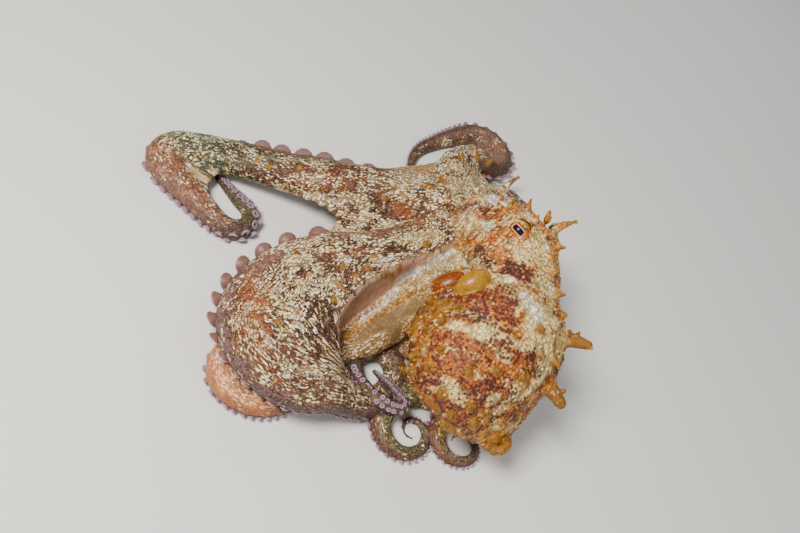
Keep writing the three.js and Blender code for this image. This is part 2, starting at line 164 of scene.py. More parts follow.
ARMS = {
    "arm_l1": dict(
        start=(-22, 22), heading=-151, taper=0.5,
        arcs=[(161, -10), (36, 12), (28, 134), (54, 5), (42, 176), (34, -12)],
        lifts=[(0, 28), (40, 25), (90, 18), (130, 11), (180, 4), (220, 0)],
        turned=[(0, 15), (60, 42), (110, 56), (148, 56), (172, 26), (222, 28), (270, 36), (295, 95),
                (318, 150), (355, 160)]),
    "arm_l2": dict(
        start=(-14, -12), heading=-102, taper=0.6,
        arcs=[(76, -52), (111, 101), (66, 92), (31, -1), (42, 62), (52, 200), (30, 42), (16, 45),
              (10, 133), (26, 0)],
        lifts=[(0, 28), (50, 27), (80, 18), (107, 9), (128, 3), (150, 3), (172, 9), (200, 20),
               (215, 23), (232, 21), (262, 19), (280, 9), (295, 3), (310, 0), (366, 0),
               (385, 3), (400, 10), (412, 17), (445, 17), (460, 14)],
        turned=[(0, 10), (70, 48), (140, 58), (175, 44), (215, 18), (295, 20), (325, 62), (345, 85),
                (370, 115), (395, 145), (460, 165)]),
    "arm_l3": dict(
        start=(5, -29), heading=-104, taper=0.5,
        arcs=[(57, -2), (82, -40), (27, 19), (26, 105), (39, 80), (28, 148), (12, 70)],
        lifts=[(0, 24), (37, 17), (70, 8), (100, 0)],
        turned=[(0, 10), (100, 22), (160, 32), (200, 40), (271, 60)]),
    "arm_l4": dict(
        start=(16, -26), heading=-81, taper=0.85,
        arcs=[(47, 67), (19, -4), (33, -120), (35, -20), (45, 84), (52, 180), (16, 91), (22, 200)],
        lifts=[(0, 18), (25, 10), (50, 1), (60, 0)],
        turned=[(0, 10), (70, 40), (130, 42), (225, 58), (269, 100)]),
    "arm_r4": dict(
        start=(24, -16), heading=-16, taper=0.9,
        arcs=[(43, 2), (98, -141), (23, 48), (50, 184), (34, 213)],
        lifts=[(0, 16), (40, 4), (60, 0)],
        turned=[(0, 10), (60, 30), (150, 42), (248, 70)]),
    "arm_r3": dict(
        start=(31, 4), heading=4, taper=0.8,
        arcs=[(34, 12), (62, 160), (26, 110), (26, 200)],
        lifts=[(0, 16), (30, 5), (45, 0)],
        turned=[(0, 10), (40, 40), (148, 80)]),
    "arm_r2": dict(
        start=(18, 22), heading=78, taper=0.8,
        arcs=[(52, -12), (40, 82), (36, 122), (30, 170)],
        lifts=[(0, 40), (30, 34), (52, 18), (75, 4), (92, 0)],
        turned=[(0, 10), (50, 40), (158, 80)]),
    "arm_r1": dict(
        start=(-2, 24), heading=126, taper=0.88,
        arcs=[(46, -7), (68, -81), (70, 201), (48, 8), (54, 74), (27, 156)],
        lifts=[(0, 22), (60, 14), (90, 9), (125, 1), (140, 0)],
        turned=[(0, 10), (90, 40), (130, 60), (220, 76), (313, 85)]),
}
CREST = dict(
    start=(2, -15), heading=-116,
    arcs=[(39, -4), (42, 10), (32, 22), (44, 78), (27, 28)],
    heights=[(0, 50), (54, 49), (100, 46), (130, 42), (155, 31), (170, 20), (184, 12)])
print(len(ARMS), "arms written down")

# %% [markdown]
# ### From arcs to a rail
#
# A "rail" is the middle line sampled every millimetre, with the arm's radius and
# three directions at each sample: along the arm, to its left side, and up through
# its back. Everything else in the lesson reads these samples.

# %% Rails
def value_at(pairs, distance):
    """Smooth values through (distance, value) pairs."""
    places = np.array([p for p, _ in pairs], dtype=float)
    values = np.array([v for _, v in pairs], dtype=float)
    distance = np.clip(distance, places[0], places[-1])
    index = np.clip(np.searchsorted(places, distance, side="right") - 1, 0, len(places) - 2)
    t = (distance - places[index]) / (places[index + 1] - places[index])
    ease = t ** 3 * (t * (t * 6 - 15) + 10)
    return values[index] + (values[index + 1] - values[index]) * (0.4 * ease + 0.6 * t)


def make_rail(start, heading, arcs, taper=None, lifts=None, heights=None, turned=None):
    """An arm's middle line as a dictionary of arrays, one row per millimetre."""
    spots, headings = [np.array(start, dtype=float)], [math.radians(heading)]
    for length, turn in arcs:
        step = math.radians(turn) / length
        for _ in range(length):
            middle = headings[-1] + step / 2
            spots.append(spots[-1] + [math.cos(middle), math.sin(middle)])
            headings.append(headings[-1] + step)
    length = len(spots) - 1
    s = np.arange(length + 1, dtype=float)
    radius = np.zeros(length + 1)
    if taper is not None:
        radius = ARM_ROOT_RADIUS * (1 - s / (length * ARM_TAPER_END)) ** taper
    roundness = smooth_step(s / length, ARM_ROUND_FROM, ARM_ROUND_BY)
    breadth = ARM_ROOT_BREADTH + (1 - ARM_ROOT_BREADTH) * roundness
    depth = ARM_ROOT_DEPTH + (1 - ARM_ROOT_DEPTH) * roundness
    if heights is not None:
        z = value_at(heights, s)
    else:
        z = value_at(lifts, s) + radius * depth * math.cos(math.pi / ARM_SIDES) - GROUND_SINK
    centre = np.column_stack([np.array(spots), z])
    along = unit(np.gradient(centre, axis=0))
    left = unit(np.cross([0.0, 0.0, 1.0], along))
    up = np.cross(along, left)
    roll = np.zeros(length + 1) if turned is None else value_at(turned, s)
    return dict(s=s, centre=centre, along=along, left=left, up=up, radius=radius,
                half_breadth=radius * breadth, half_depth=radius * depth,
                roll=np.radians(roll), length=length)


rails = {name: make_rail(**spec) for name, spec in ARMS.items()}
rails["crest"] = make_rail(**CREST)
for name in ARMS:
    print(name, "is", rails[name]["length"], "mm long")

# %% [markdown]
# ## Head, mantle and webs
#
# Head and mantle are swollen shapes strung along a bent axis. Each "station" is a
# point of the axis with a half width and a half height. A web's "reach" is how far
# along its two rails it goes, and its "notch" how deeply its free edge is drawn in.

# %% Stations of the body
HEAD_STATIONS = [
    (7, 9, 36, 27, 21), (15, 4, 52, 31, 24), (23, -5, 65, 33, 27), (32, -19, 73, 32, 30),
    (41, -35, 74, 32, 30), (47, -52, 70, 34, 32), (50, -68, 67, 38, 34)]
MANTLE_STATIONS = [
    (41, -70, 66, 45, 45), (47, -81, 63, 50, 48), (53, -96, 58, 53, 45),
    (63, -108, 51, 50, 39), (72, -116, 44, 38, 27), (80, -121, 37, 22, 17)]
CROWN_CENTRE, CROWN_RADII = (3, -1, 31), (34, 34, 25)
EYES = {"eye_l": np.array([26.5, -27.5, 101.0]), "eye_r": np.array([51.5, 4.0, 78.5])}
EYE_RADIUS = 8.0
EYE_AXIS_STATION = 3
BROW_RADIUS, BROW_SINK = 14.0, 0.22
BACK = unit([0.5, -0.15, 0.85])  # the way the head's back faces
WEBS = {
    "web_r1_l1": dict(rails=("arm_r1", "arm_l1"), reach=(88, 150), notch=0.25, sag=0),
    "web_l1_l2": dict(rails=("arm_l1", "arm_l2"), reach=(192, 140), notch=0.52, sag=3),
    "web_l2_l3": dict(rails=("crest", "arm_l3"), reach=(150, 130), notch=0.1, sag=14),
    "web_l3_l4": dict(rails=("arm_l3", "arm_l4"), reach=(125, 80), notch=0.2, sag=2),
    "web_l4_r4": dict(rails=("arm_l4", "arm_r4"), reach=(84, 80), notch=0.2, sag=2),
    "web_r3_r2": dict(rails=("arm_r3", "arm_r2"), reach=(60, 58), notch=0.4, sag=3),
    "web_r2_r1": dict(rails=("arm_r2", "arm_r1"), reach=(72, 95), notch=0.15, sag=0),
    "web_l1_fold": dict(rails=("arm_l1", "arm_l1"), start=(196, 203), reach=(150, 268), notch=0.25),
}
VEIL = dict(rails=("arm_l2", "crest"), reach=(322, 178), bulge=7)
WEB_THICKNESS, WEB_EDGE_THICKNESS = 7.0, 4.0
WEB_START = 4  # how far along its rails a web begins, where nothing else is said
print(len(WEBS) + 1, "webs, and", len(HEAD_STATIONS) + len(MANTLE_STATIONS), "stations of head and mantle")

# %% [markdown]
# ## Growing one skin
#
# Flesh has no seams, so the skin is grown as a field: a block of small cells, each
# holding its distance to the nearest flesh. Balls strung along the rails fill the
# field, a soft minimum melts neighbours into each other, and the skin is the surface
# where the distance is zero. Boolean joins would leave hard creases instead.

# %% The field
CELL = 1.25  # size of a cell
FIELD_LOW = np.array([-226.0, -207.0, -5.0])
FIELD_HIGH = np.array([124.0, 186.0, 124.0])
FAR = 12.0  # distances are only kept near the skin
cell_counts = np.ceil((FIELD_HIGH - FIELD_LOW) / CELL).astype(int)
cell_places = [low + CELL * np.arange(count) for low, count in zip(FIELD_LOW, cell_counts)]


def empty_field():
    """A field with no flesh in it."""
    return np.full(cell_counts, FAR, dtype=np.float32)


def add_ball(field, centre, radii, axes=None, reach=6.0):
    """Join one ball or egg of flesh to a field, in place."""
    radii = np.asarray(radii, dtype=float)
    far = radii.max() + reach
    low = np.maximum(np.floor((centre - far - FIELD_LOW) / CELL).astype(int), 0)
    high = np.minimum(np.ceil((centre + far - FIELD_LOW) / CELL).astype(int) + 1, cell_counts)
    if np.any(low >= high):
        return
    window = tuple(slice(a, b) for a, b in zip(low, high))
    dx, dy, dz = np.ix_(*((cell_places[k][window[k]] - centre[k]).astype(np.float32) for k in range(3)))
    axes = np.eye(3) if axes is None else axes
    near, steep = 0, 0
    for axis, radius in zip(axes, radii):
        part = (dx * axis[0] + dy * axis[1] + dz * axis[2]) / np.float32(radius)
        near = near + part ** 2
        steep = steep + (part / np.float32(radius)) ** 2
    near = np.sqrt(near)
    distance = near * (near - 1) / (np.sqrt(steep) + np.float32(1e-6))
    np.minimum(field[window], distance, out=field[window])


def melt(a, b, softness):
    """Join two fields so that their surfaces flow into each other."""
    share = np.clip(0.5 + 0.5 * (b - a) / softness, 0, 1)
    return b * (1 - share) + a * share - softness * share * (1 - share)


print("field of", cell_counts.tolist(), "cells")

# %% [markdown]
# ### Flesh along the rails
#
# A ball every two millimetres is close enough that the string of balls looks like a
# smooth rod. The arms keep a sharp minimum between themselves, so two arms that
# touch still look like two arms.

# %% Arms in the field
BALL_STEP = 2


def arm_field():
    """All eight arms in one field."""
    field = empty_field()
    for name in ARMS:
        rail = rails[name]
        for i in range(0, rail["length"] + 1, BALL_STEP):
            breadth = max(rail["half_breadth"][i], ARM_TIP_RADIUS)
            depth = max(rail["half_depth"][i], ARM_TIP_RADIUS)
            axes = (rail["along"][i], rail["left"][i], rail["up"][i])
            add_ball(field, rail["centre"][i], (min(breadth, depth), breadth, depth), axes)
    return field


arms_grown = arm_field()
print("arms fill", int((arms_grown < 0).sum() * CELL ** 3 / 1000), "millilitres")

# %% [markdown]
# ### Web between the arms
#
# The web is a sheet stretched between two rails. The broad veil arches a little and
# runs from the second left arm up to the folded crest. Each sheet is laid out first
# as a dense grid of points.

# %% Web sheets
WEB_GRID = (160, 90)  # points along the rails and across the sheet


def hump(v):
    """0 at both rails and 1 midway between them."""
    return 4 * v * (1 - v)


def rail_point(name, distance):
    """The point of a rail at each distance along it."""
    rail = rails[name]
    distance = np.clip(distance, 0, rail["length"])
    return np.column_stack([np.interp(distance, rail["s"], rail["centre"][:, k]) for k in range(3)])


def web_points(spec, u, v):
    """Points of a web sheet, and how far along its rails each one is."""
    left, right = spec["rails"]
    start = spec.get("start", (WEB_START, WEB_START))
    share = u * (1 - spec.get("notch", 0) * hump(v))
    along_left = start[0] + (spec["reach"][0] - start[0]) * share
    along_right = start[1] + (spec["reach"][1] - start[1]) * share
    a = rail_point(left, along_left)
    b = rail_point(right, along_right)
    points = a + (b - a) * v[:, None]
    points[:, 2] -= spec.get("sag", 0) * hump(v) * u
    points[:, 2] += spec.get("bulge", 0) * hump(v) * np.sin(np.pi * u)
    along = along_left + (along_right - along_left) * v
    return points, along


def web_samples(spec):
    """A dense grid over one web: points, thickness, and place along and across."""
    steps_along, steps_across = (np.linspace(0, 1, count) for count in WEB_GRID)
    u, v = (grid.ravel() for grid in np.meshgrid(steps_along, steps_across))
    points, along = web_points(spec, u, v)
    left, right = points[v == 0], points[v == 1]
    width = np.linalg.norm(left - right, axis=1)
    across = (v - 0.5) * np.interp(u, steps_along, width)
    thin_towards = v if "bulge" in spec else u
    thickness = WEB_THICKNESS + (WEB_EDGE_THICKNESS - WEB_THICKNESS) * thin_towards
    return dict(points=points, along=along, across=across, thickness=thickness, v=v)


sheets = {name: web_samples(spec) for name, spec in WEBS.items()}
sheets["web_l2_veil"] = web_samples(VEIL)
print(len(sheets), "web sheets")

# %% [markdown]
# The sheets are then filled with balls as thick as the web. The grid is far denser
# than they need, so it is thinned to one point for each small box.

# %% Webs in the field
WEB_POINT_STEP = 1.8
BOX_KEYS = np.array([1, 4096, 4096 * 4096])  # numbers every small box differently


def thinned(points, step):
    """One point for each box of the given size."""
    keys = np.floor(points / step).astype(np.int64)
    _, keep = np.unique(keys @ BOX_KEYS, return_index=True)
    return keep


def web_field(sheets):
    """Every web in one field."""
    field = empty_field()
    for sheet in sheets.values():
        for i in thinned(sheet["points"], WEB_POINT_STEP):
            add_ball(field, sheet["points"][i], (sheet["thickness"][i] / 2,) * 3, reach=5.0)
    return field


webs_grown = web_field(sheets)
print("webs fill", int((webs_grown < 0).sum() * CELL ** 3 / 1000), "millilitres")

# %% [markdown]
# ### Head, mantle and brows
#
# The stations are joined by a smooth curve, and flat eggs of flesh are strung along
# it, each as wide and as high as the station asks. The eggs are turned so that their
# height points through the head's back.

# %% Body in the field
LOFT_STEP = 1.6
LOFT_EGG_LENGTH = 11.0
HORN_STEP, HORN_TAPER = 1.2, 0.8


def through(stations, step):
    """Stations joined by a smooth curve and sampled about every step millimetres."""
    rows = np.array(stations, dtype=float)
    rows = np.vstack([2 * rows[0] - rows[1], rows, 2 * rows[-1] - rows[-2]])
    samples = []
    for i in range(1, len(rows) - 2):
        count = max(2, int(np.linalg.norm(rows[i + 1, :3] - rows[i, :3]) / step))
        t = np.arange(count)[:, None] / count
        a, b, c, d = rows[i - 1:i + 3]
        samples.append(0.5 * (2 * b + (c - a) * t + (2 * a - 5 * b + 4 * c - d) * t ** 2
                              + (3 * b - a - 3 * c + d) * t ** 3))
    samples.append(rows[-2:-1])
    return np.vstack(samples)


def add_loft(field, stations):
    """String eggs of flesh through stations."""
    samples = through(stations, LOFT_STEP)
    directions = unit(np.gradient(samples[:, :3], axis=0))
    for sample, along in zip(samples, directions):
        side = unit(np.cross(BACK, along))
        radii = (LOFT_EGG_LENGTH, sample[3], sample[4])
        add_ball(field, sample[:3], radii, (along, side, np.cross(along, side)))


def add_horn(field, foot, point, radius, tip_radius):
    """A horn of shrinking balls from foot to point."""
    foot, point = np.array(foot, dtype=float), np.array(point, dtype=float)
    count = int(np.linalg.norm(point - foot) / HORN_STEP) + 2
    for t in np.linspace(0, 1, count):
        size = radius + (tip_radius - radius) * t ** HORN_TAPER
        add_ball(field, foot + (point - foot) * t, (size,) * 3, reach=4)


head_middle = np.array(HEAD_STATIONS[EYE_AXIS_STATION][:3], dtype=float)
head_grown = empty_field()
add_loft(head_grown, HEAD_STATIONS)
for eye in EYES.values():
    add_ball(head_grown, eye + (head_middle - eye) * BROW_SINK, (BROW_RADIUS,) * 3)
mantle_grown = empty_field()
add_loft(mantle_grown, MANTLE_STATIONS)
print("head", int((head_grown < 0).sum() * CELL ** 3 / 1000), "ml, mantle",
      int((mantle_grown < 0).sum() * CELL ** 3 / 1000), "ml")

# %% [markdown]
# ### Joining the parts
#
# Each part melts into the next by its own amount: the web flows softly into the
# arms, the head flows into the crown of arms, and a clear crease stays between the
# mantle and the head. The floor cuts everything off flat at height zero.

# %% Join the fields
WEB_MELT, CROWN_MELT, HEAD_MELT, MANTLE_MELT = 5.0, 9.0, 9.0, 3.0


def joined_field():
    """Arms, webs, crown, head and mantle as one field."""
    crown = empty_field()
    add_ball(crown, np.array(CROWN_CENTRE, dtype=float), CROWN_RADII)
    field = melt(arms_grown, webs_grown, WEB_MELT)
    field = melt(field, crown, CROWN_MELT)
    field = melt(field, head_grown, HEAD_MELT)
    return melt(field, mantle_grown, MANTLE_MELT)


def cut_by_floor(field):
    """Remove what lies below the floor."""
    return np.maximum(field, -cell_places[2].astype(np.float32))


def surface_of(field):
    """The surface of a field as points in crown millimetres, triangles and quads."""
    grid = openvdb.FloatGrid()
    grid.copyFromArray(np.ascontiguousarray(field))
    points, triangles, quads = grid.convertToPolygons(isovalue=0.0, adaptivity=0.0)
    return points * CELL + FIELD_LOW, triangles, quads


body = joined_field()
rough_points, _, rough_quads = surface_of(cut_by_floor(body))
print("first skin:", len(rough_points), "points,", len(rough_quads), "quads")

# %% [markdown]
# ### Placing details
#
# Small features are easiest to place where the camera sees them. This helper sends a
# ray from the camera through a spot of the 800 x 533 picture and returns where it
# meets the skin, so each papilla truly stands on the body from any side.

# %% Where the camera sees the skin
BODY_PIXEL = (450, 270)  # a picture spot in the middle of the animal
SEARCH_REACH, SEARCH_STEPS = 0.5, 40  # how far towards it the skin is looked for
rough_tree = BVHTree.FromPolygons(rough_points.tolist(), rough_quads.tolist())
camera_place = np.array(camera.matrix_world.translation) * 1000 - CROWN_PLACE


def camera_ray(x, y):
    """The direction from the camera through a picture spot, one long along the view."""
    right, up, forward = camera_axes()
    across = (x - IMAGE_WIDTH / 2) / PIXELS_PER_UNIT
    down = (y - IMAGE_HEIGHT / 2) / PIXELS_PER_UNIT
    return forward + across * right - down * up


def depth_at(x, y):
    """How far along the view the skin is; beside the skin, as far as the next skin inwards."""
    forward = camera_axes()[2]
    for step in np.linspace(0, SEARCH_REACH, SEARCH_STEPS):
        ray = camera_ray(x + (BODY_PIXEL[0] - x) * step, y + (BODY_PIXEL[1] - y) * step)
        hit = rough_tree.ray_cast(Vector(camera_place), Vector(ray))
        if hit[0] is not None:
            return float((np.array(hit[0]) - camera_place) @ forward)
    raise ValueError(f"no skin near picture spot {x}, {y}")


def seen_at(x, y, deeper=0.0):
    """The crown-frame point seen at a picture spot, pushed deeper by some millimetres."""
    return camera_place + camera_ray(x, y) * (depth_at(x, y) + deeper)


print("the crown's top is seen at depth", round(depth_at(455, 245)), "mm")

# %% [markdown]
# ### The siphon
#
# The siphon is the funnel the octopus breathes out through. Here its mouth is folded
# into two soft lobes that bulge out beside the mantle's opening. Each is an egg of
# flesh laid half into the skin, turned the way the camera sees it. They melt into the
# skin by very little, so that a crease stays round each.

# %% Siphon in the field
# where the camera sees its middle, how deep that lies, length, height and depth in
# mm, and its turn in the picture in degrees
SIPHON_LOBES = [
    dict(seen=(450, 284), deeper=-4.0, radii=(14.0, 8.0, 7.0), turn=20),
    dict(seen=(473, 283), deeper=-2.5, radii=(12.2, 7.4, 6.5), turn=31),
]
SIPHON_MELT = 0.9


def siphon_field():
    """The lobes of the siphon; their middles are kept for the painter."""
    field = empty_field()
    right, up, forward = camera_axes()
    for lobe in SIPHON_LOBES:
        turn = math.radians(lobe["turn"])
        along = right * math.cos(turn) + up * math.sin(turn)
        side = up * math.cos(turn) - right * math.sin(turn)
        lobe["middle"] = seen_at(*lobe["seen"], deeper=lobe["deeper"])
        add_ball(field, lobe["middle"], lobe["radii"], (along, side, forward), reach=8)
    return field


siphon_grown = siphon_field()
body = melt(body, siphon_grown, SIPHON_MELT)
print("siphon lobes at", [lobe["middle"].round().tolist() for lobe in SIPHON_LOBES])

# %% [markdown]
# ### Papillae
#
# An octopus can raise its skin into knobs, spikes and flaps to look like weed. Each
# one here has a foot on the skin, a tip, and a radius, and is grown into the field
# so that the skin runs up it without a seam. Tips off the outline take the depth of
# their foot.

# %% Where the papillae stand
# foot x, y and tip x, y as the camera sees them, foot radius in mm, tip lift in mm
HEAD_SPIKES = [
    (477, 160, 474, 145, 2.8, 6), (487, 166, 495, 157, 3.2, 4), (504, 187, 519, 177, 3.4, 3),
    (470, 179, 470, 168, 2.6, 5), (479, 193, 477, 187, 3.0, 4), (443, 183, 441, 175, 3.0, 4),
    (430, 188, 428, 183, 2.4, 3), (420, 176, 419, 170, 2.4, 3), (507, 215, 498, 203, 3.6, 3),
    (513, 208, 514, 200, 2.8, 4), (528, 210, 531, 199, 2.8, 3), (547, 220, 550, 211, 2.8, 3),
    (555, 228, 577, 221, 4.0, 1), (554, 246, 565, 248, 3.2, 2), (458, 248, 457, 243, 3.2, 4),
    (543, 238, 548, 231, 2.6, 3), (548, 258, 554, 257, 3.2, 2), (549, 272, 558, 272, 3.6, 2),
    (553, 292, 565, 295, 4.2, 2), (449, 200, 448, 196, 2.4, 3), (462, 158, 463, 153, 2.2, 3),
    (500, 197, 502, 192, 2.2, 3), (536, 222, 538, 216, 2.2, 3), (560, 315, 567, 315, 2.6, 2),
]
MANTLE_KNOBS = [
    (434, 303, 429, 299, 4.4, 4), (443, 323, 441, 320, 4.2, 4), (447, 303, 446, 300, 3.2, 3),
    (459, 309, 457, 306, 2.6, 3), (427, 331, 425, 328, 3.2, 3), (442, 351, 441, 349, 2.6, 3),
    (417, 357, 412, 356, 4.0, 2), (413, 370, 408, 369, 4.2, 2), (414, 334, 410, 332, 3.6, 2),
    (429, 369, 427, 368, 2.6, 3), (442, 395, 440, 392, 3.2, 3), (430, 400, 427, 400, 3.0, 2),
    (446, 425, 442, 424, 3.8, 3), (452, 418, 451, 416, 2.8, 3), (471, 409, 470, 407, 2.6, 3),
    (454, 431, 452, 430, 2.8, 2), (475, 425, 474, 423, 3.2, 3), (485, 412, 487, 423, 3.0, 4),
    (502, 420, 504, 427, 3.0, 3), (518, 335, 518, 334, 3.0, 3), (541, 330, 542, 329, 3.0, 3),
    (435, 312, 433, 310, 2.6, 2), (424, 345, 423, 343, 2.6, 2), (437, 410, 435, 409, 2.6, 2),
    (523, 381, 523, 379, 3.0, 3), (497, 372, 497, 370, 2.4, 2), (470, 374, 469, 372, 2.6, 2),
    (553, 359, 558, 366, 3.0, 2), (540, 353, 543, 357, 2.8, 2), (417, 390, 414, 390, 3.0, 2),
    (488, 445, 487, 448, 3.6, 1), (494, 449, 494, 452, 3.8, 1), (501, 449, 502, 452, 3.6, 1),
    (507, 443, 509, 445, 3.4, 1), (496, 440, 496, 441, 3.2, 2),
]
MANTLE_HORNS = [
    (563, 338, 588, 345, 5.2, 0), (548, 385, 561, 404, 5.6, 0),
    (574, 341, 579, 333, 2.4, 1), (582, 343, 590, 350, 2.2, 0), (555, 393, 564, 391, 2.6, 1),
    (566, 337, 570, 331, 2.2, 1), (557, 400, 556, 406, 2.2, 0),
]
RIDGE_LINE = [(344, 339), (400, 301), (462, 269)]
RIDGE_COUNT, RIDGE_RADIUS, RIDGE_LIFT = 26, 1.5, 1.6
RIDGE_LEAN = (0.5, 1.5)  # how far a knob's tip lies to the left of its foot, and above it
VEIL_KNOBS = [
    (368, 268, 367, 266, 2, 1.5), (344, 267, 343, 264, 2.2, 1.5), (296, 252, 295, 250, 1.6, 1.5),
    (284, 308, 283, 306, 1.8, 1.5), (279, 322, 278, 320, 1.6, 1.5), (398, 269, 399, 266, 2, 1.5),
    (391, 278, 391, 275, 1.8, 1.5), (384, 274, 384, 271, 1.8, 1.5), (310, 276, 309, 274, 1.6, 1.5),
    (427, 245, 426, 243, 2.3, 1.5), (357, 277, 356, 275, 1.8, 1.5), (375, 258, 374, 256, 1.8, 1.5),
    (340, 287, 339, 285, 1.9, 1.5), (335, 300, 334, 298, 1.8, 1.5), (270, 168, 269, 166, 1.8, 1.5),
    (258, 161, 257, 159, 1.6, 1.5), (300, 168, 299, 166, 1.6, 1.5), (385, 200, 384, 198, 1.8, 1.5),
]
TIP_LOBE = dict(foot=(82, -120, 40), point=(91, -129, 35), radius=10, tip_radius=8)
print(len(HEAD_SPIKES), "spikes on the head,", len(MANTLE_KNOBS) + len(MANTLE_HORNS), "on the mantle")

# %% [markdown]
# A spike narrows to a point and a knob stays blunt, but both are horns of shrinking
# balls. The mantle's tip gets one large lobe of its own in the same way.

# %% Papillae in the field
SPIKE_MELT = 2.2
SPIKE_TIP_RADIUS = 1.3
KNOB_TIP_SHARE = 0.62  # a blunt knob's tip radius for each millimetre of its foot's


def papilla_line(spec):
    """Foot, tip and foot radius of one papilla, in crown millimetres."""
    foot_x, foot_y, tip_x, tip_y, radius, lift = spec
    depth = depth_at(foot_x, foot_y)
    foot = camera_place + camera_ray(foot_x, foot_y) * (depth + radius * 0.5)
    tip = camera_place + camera_ray(tip_x, tip_y) * (depth - lift)
    return foot, tip, radius


def ridge_knobs():
    """Small knobs spaced along the ridge, where the web of arm l3 has its edge."""
    corners = np.array(RIDGE_LINE, dtype=float)
    spots = np.linspace(0, len(corners) - 1, RIDGE_COUNT)
    seen = np.column_stack([np.interp(spots, range(len(corners)), corners[:, k]) for k in (0, 1)])
    left, above = RIDGE_LEAN
    return [(x, y, x - left, y - above, RIDGE_RADIUS, RIDGE_LIFT) for x, y in seen.tolist()]


papillae = HEAD_SPIKES + MANTLE_HORNS + MANTLE_KNOBS + VEIL_KNOBS + ridge_knobs()
spike_lines = [papilla_line(spec) for spec in papillae]


def papilla_field():
    """Every placed papilla; knobs are blunt and spikes are pointed."""
    field = empty_field()
    for index, (foot, tip, radius) in enumerate(spike_lines):
        sharp = index < len(HEAD_SPIKES)
        add_horn(field, foot, tip, radius, SPIKE_TIP_RADIUS if sharp else radius * KNOB_TIP_SHARE)
    add_horn(field, **TIP_LOBE)
    return field


papillae_grown = papilla_field()
body = melt(body, papillae_grown, SPIKE_MELT)
print(len(spike_lines), "papillae grown")

# %% [markdown]
# ### Wrinkles
#
# The skin of a living octopus is never plain. "Cloud" gives smooth random values in
# space. Folded about its middle value it has thin crests, which raise low wrinkles
# on the head and mantle and finer ones on the arms.

# %% Wrinkles in the field
WRINKLE_HEIGHT = dict(limb=0.7, head=1.9, mantle=1.8)
WRINKLES = [(0.6, 9, 11), (0.4, 5, 12)]  # share of the height, size in mm, seed
WRINKLE_MIDDLE = 0.4  # crests rise above it and hollows fall below it
WRINKLE_REACH = 4  # the field is reshaped this far to both sides of the skin
CREST_WIDTH = 0.42
CLOUD_PRIMES = (73856093, 19349663, 83492791)
SEED_PRIME, STIR_PRIME = 961748927, 1274126177


def cloud(points, size, seed=0):
    """Smooth random values from 0 to 1, varying over about size millimetres."""
    place = np.asarray(points) / size + 200.0
    cell = np.floor(place).astype(np.int64)
    t = place - cell
    t = t * t * (3 - 2 * t)
    total = 0
    for corner in np.ndindex(2, 2, 2):
        key = cell + corner
        mixed = np.bitwise_xor.reduce(key * CLOUD_PRIMES, axis=1) ^ (seed * SEED_PRIME)
        mixed = ((mixed ^ (mixed >> 13)) * STIR_PRIME) & 0xFFFFFFFF
        value = ((mixed ^ (mixed >> 16)) & 65535) / 65535
        total = total + value * np.prod(np.where(corner, t, 1 - t), axis=1)
    return total


def crests(points, size, seed):
    """Thin winding crests, 1 along each and 0 between them."""
    return 1 - np.clip(np.abs(2 * cloud(points, size, seed) - 1) / CREST_WIDTH, 0, 1)


def wrinkled(field):
    """Raise wrinkles on a field, where it is near the skin."""
    near = np.argwhere(np.abs(field) < WRINKLE_REACH)
    index = tuple(near.T)
    points = FIELD_LOW + CELL * near
    relief = sum(share * crests(points, size, seed) for share, size, seed in WRINKLES)
    height = np.full(len(near), WRINKLE_HEIGHT["limb"])
    for name, grown in (("head", head_grown), ("mantle", mantle_grown)):
        height = height + (WRINKLE_HEIGHT[name] - height) * smooth_step(-grown[index], -4, -1)
    height = height * smooth_step(siphon_grown[index], 0.5, 2.5)
    raised = field.copy()
    raised[index] -= height * (relief - WRINKLE_MIDDLE)
    return raised


body = wrinkled(body)
print("wrinkles up to", max(WRINKLE_HEIGHT.values()), "mm")

# %% [markdown]
# ### Eye sockets and lids
#
# The eyeballs are separate pieces, so the skin needs a hollow for each, slightly
# wider than the ball, with lid folds round a small opening. The opening is cut as a
# short slot along the way the eye looks.

# %% Sockets in the field
SOCKET_GAP = 0.35
EYE_LOOK = {"eye_l": unit([-0.25, -0.71, 0.70]), "eye_r": unit([0.62, 0.48, 0.62])}
PUPIL_SLANT = {"eye_l": (0.976, -0.155, -0.139), "eye_r": (-0.6, 0.78, 0.0)}
OPENING_LENGTH, OPENING_HEIGHT = 5.4, 3.2
LID_RADIUS = 1.7
LID_FOLDS = [(1.6, 0.0), (5.4, 0.8)]  # how far outside the opening, and how far sunk
LID_BALLS = 60
LID_STAND = 0.7  # how far the lids stand off the ball
LID_MELT = 1.2
SLOT_STEPS = range(4, 17)  # how far before the eye's middle the opening is cut


def eye_axes(name):
    """The long way of the pupil, the short way, and the way the eye looks."""
    look = EYE_LOOK[name]
    slant = np.array(PUPIL_SLANT[name])
    long_way = unit(slant - look * (slant @ look))
    return long_way, np.cross(look, long_way), look


def opening_edge(name, turn, grow):
    """A point outside the opening by grow, turn being an angle round it."""
    long_way, short_way, look = eye_axes(name)
    a = (OPENING_LENGTH + grow) * np.cos(turn)
    b = (OPENING_HEIGHT + grow) * np.sin(turn)
    reach = EYE_RADIUS + LID_STAND
    forward = math.sqrt(max(reach ** 2 - a ** 2 - b ** 2, 0.0))
    return EYES[name] + long_way * a + short_way * b + look * forward


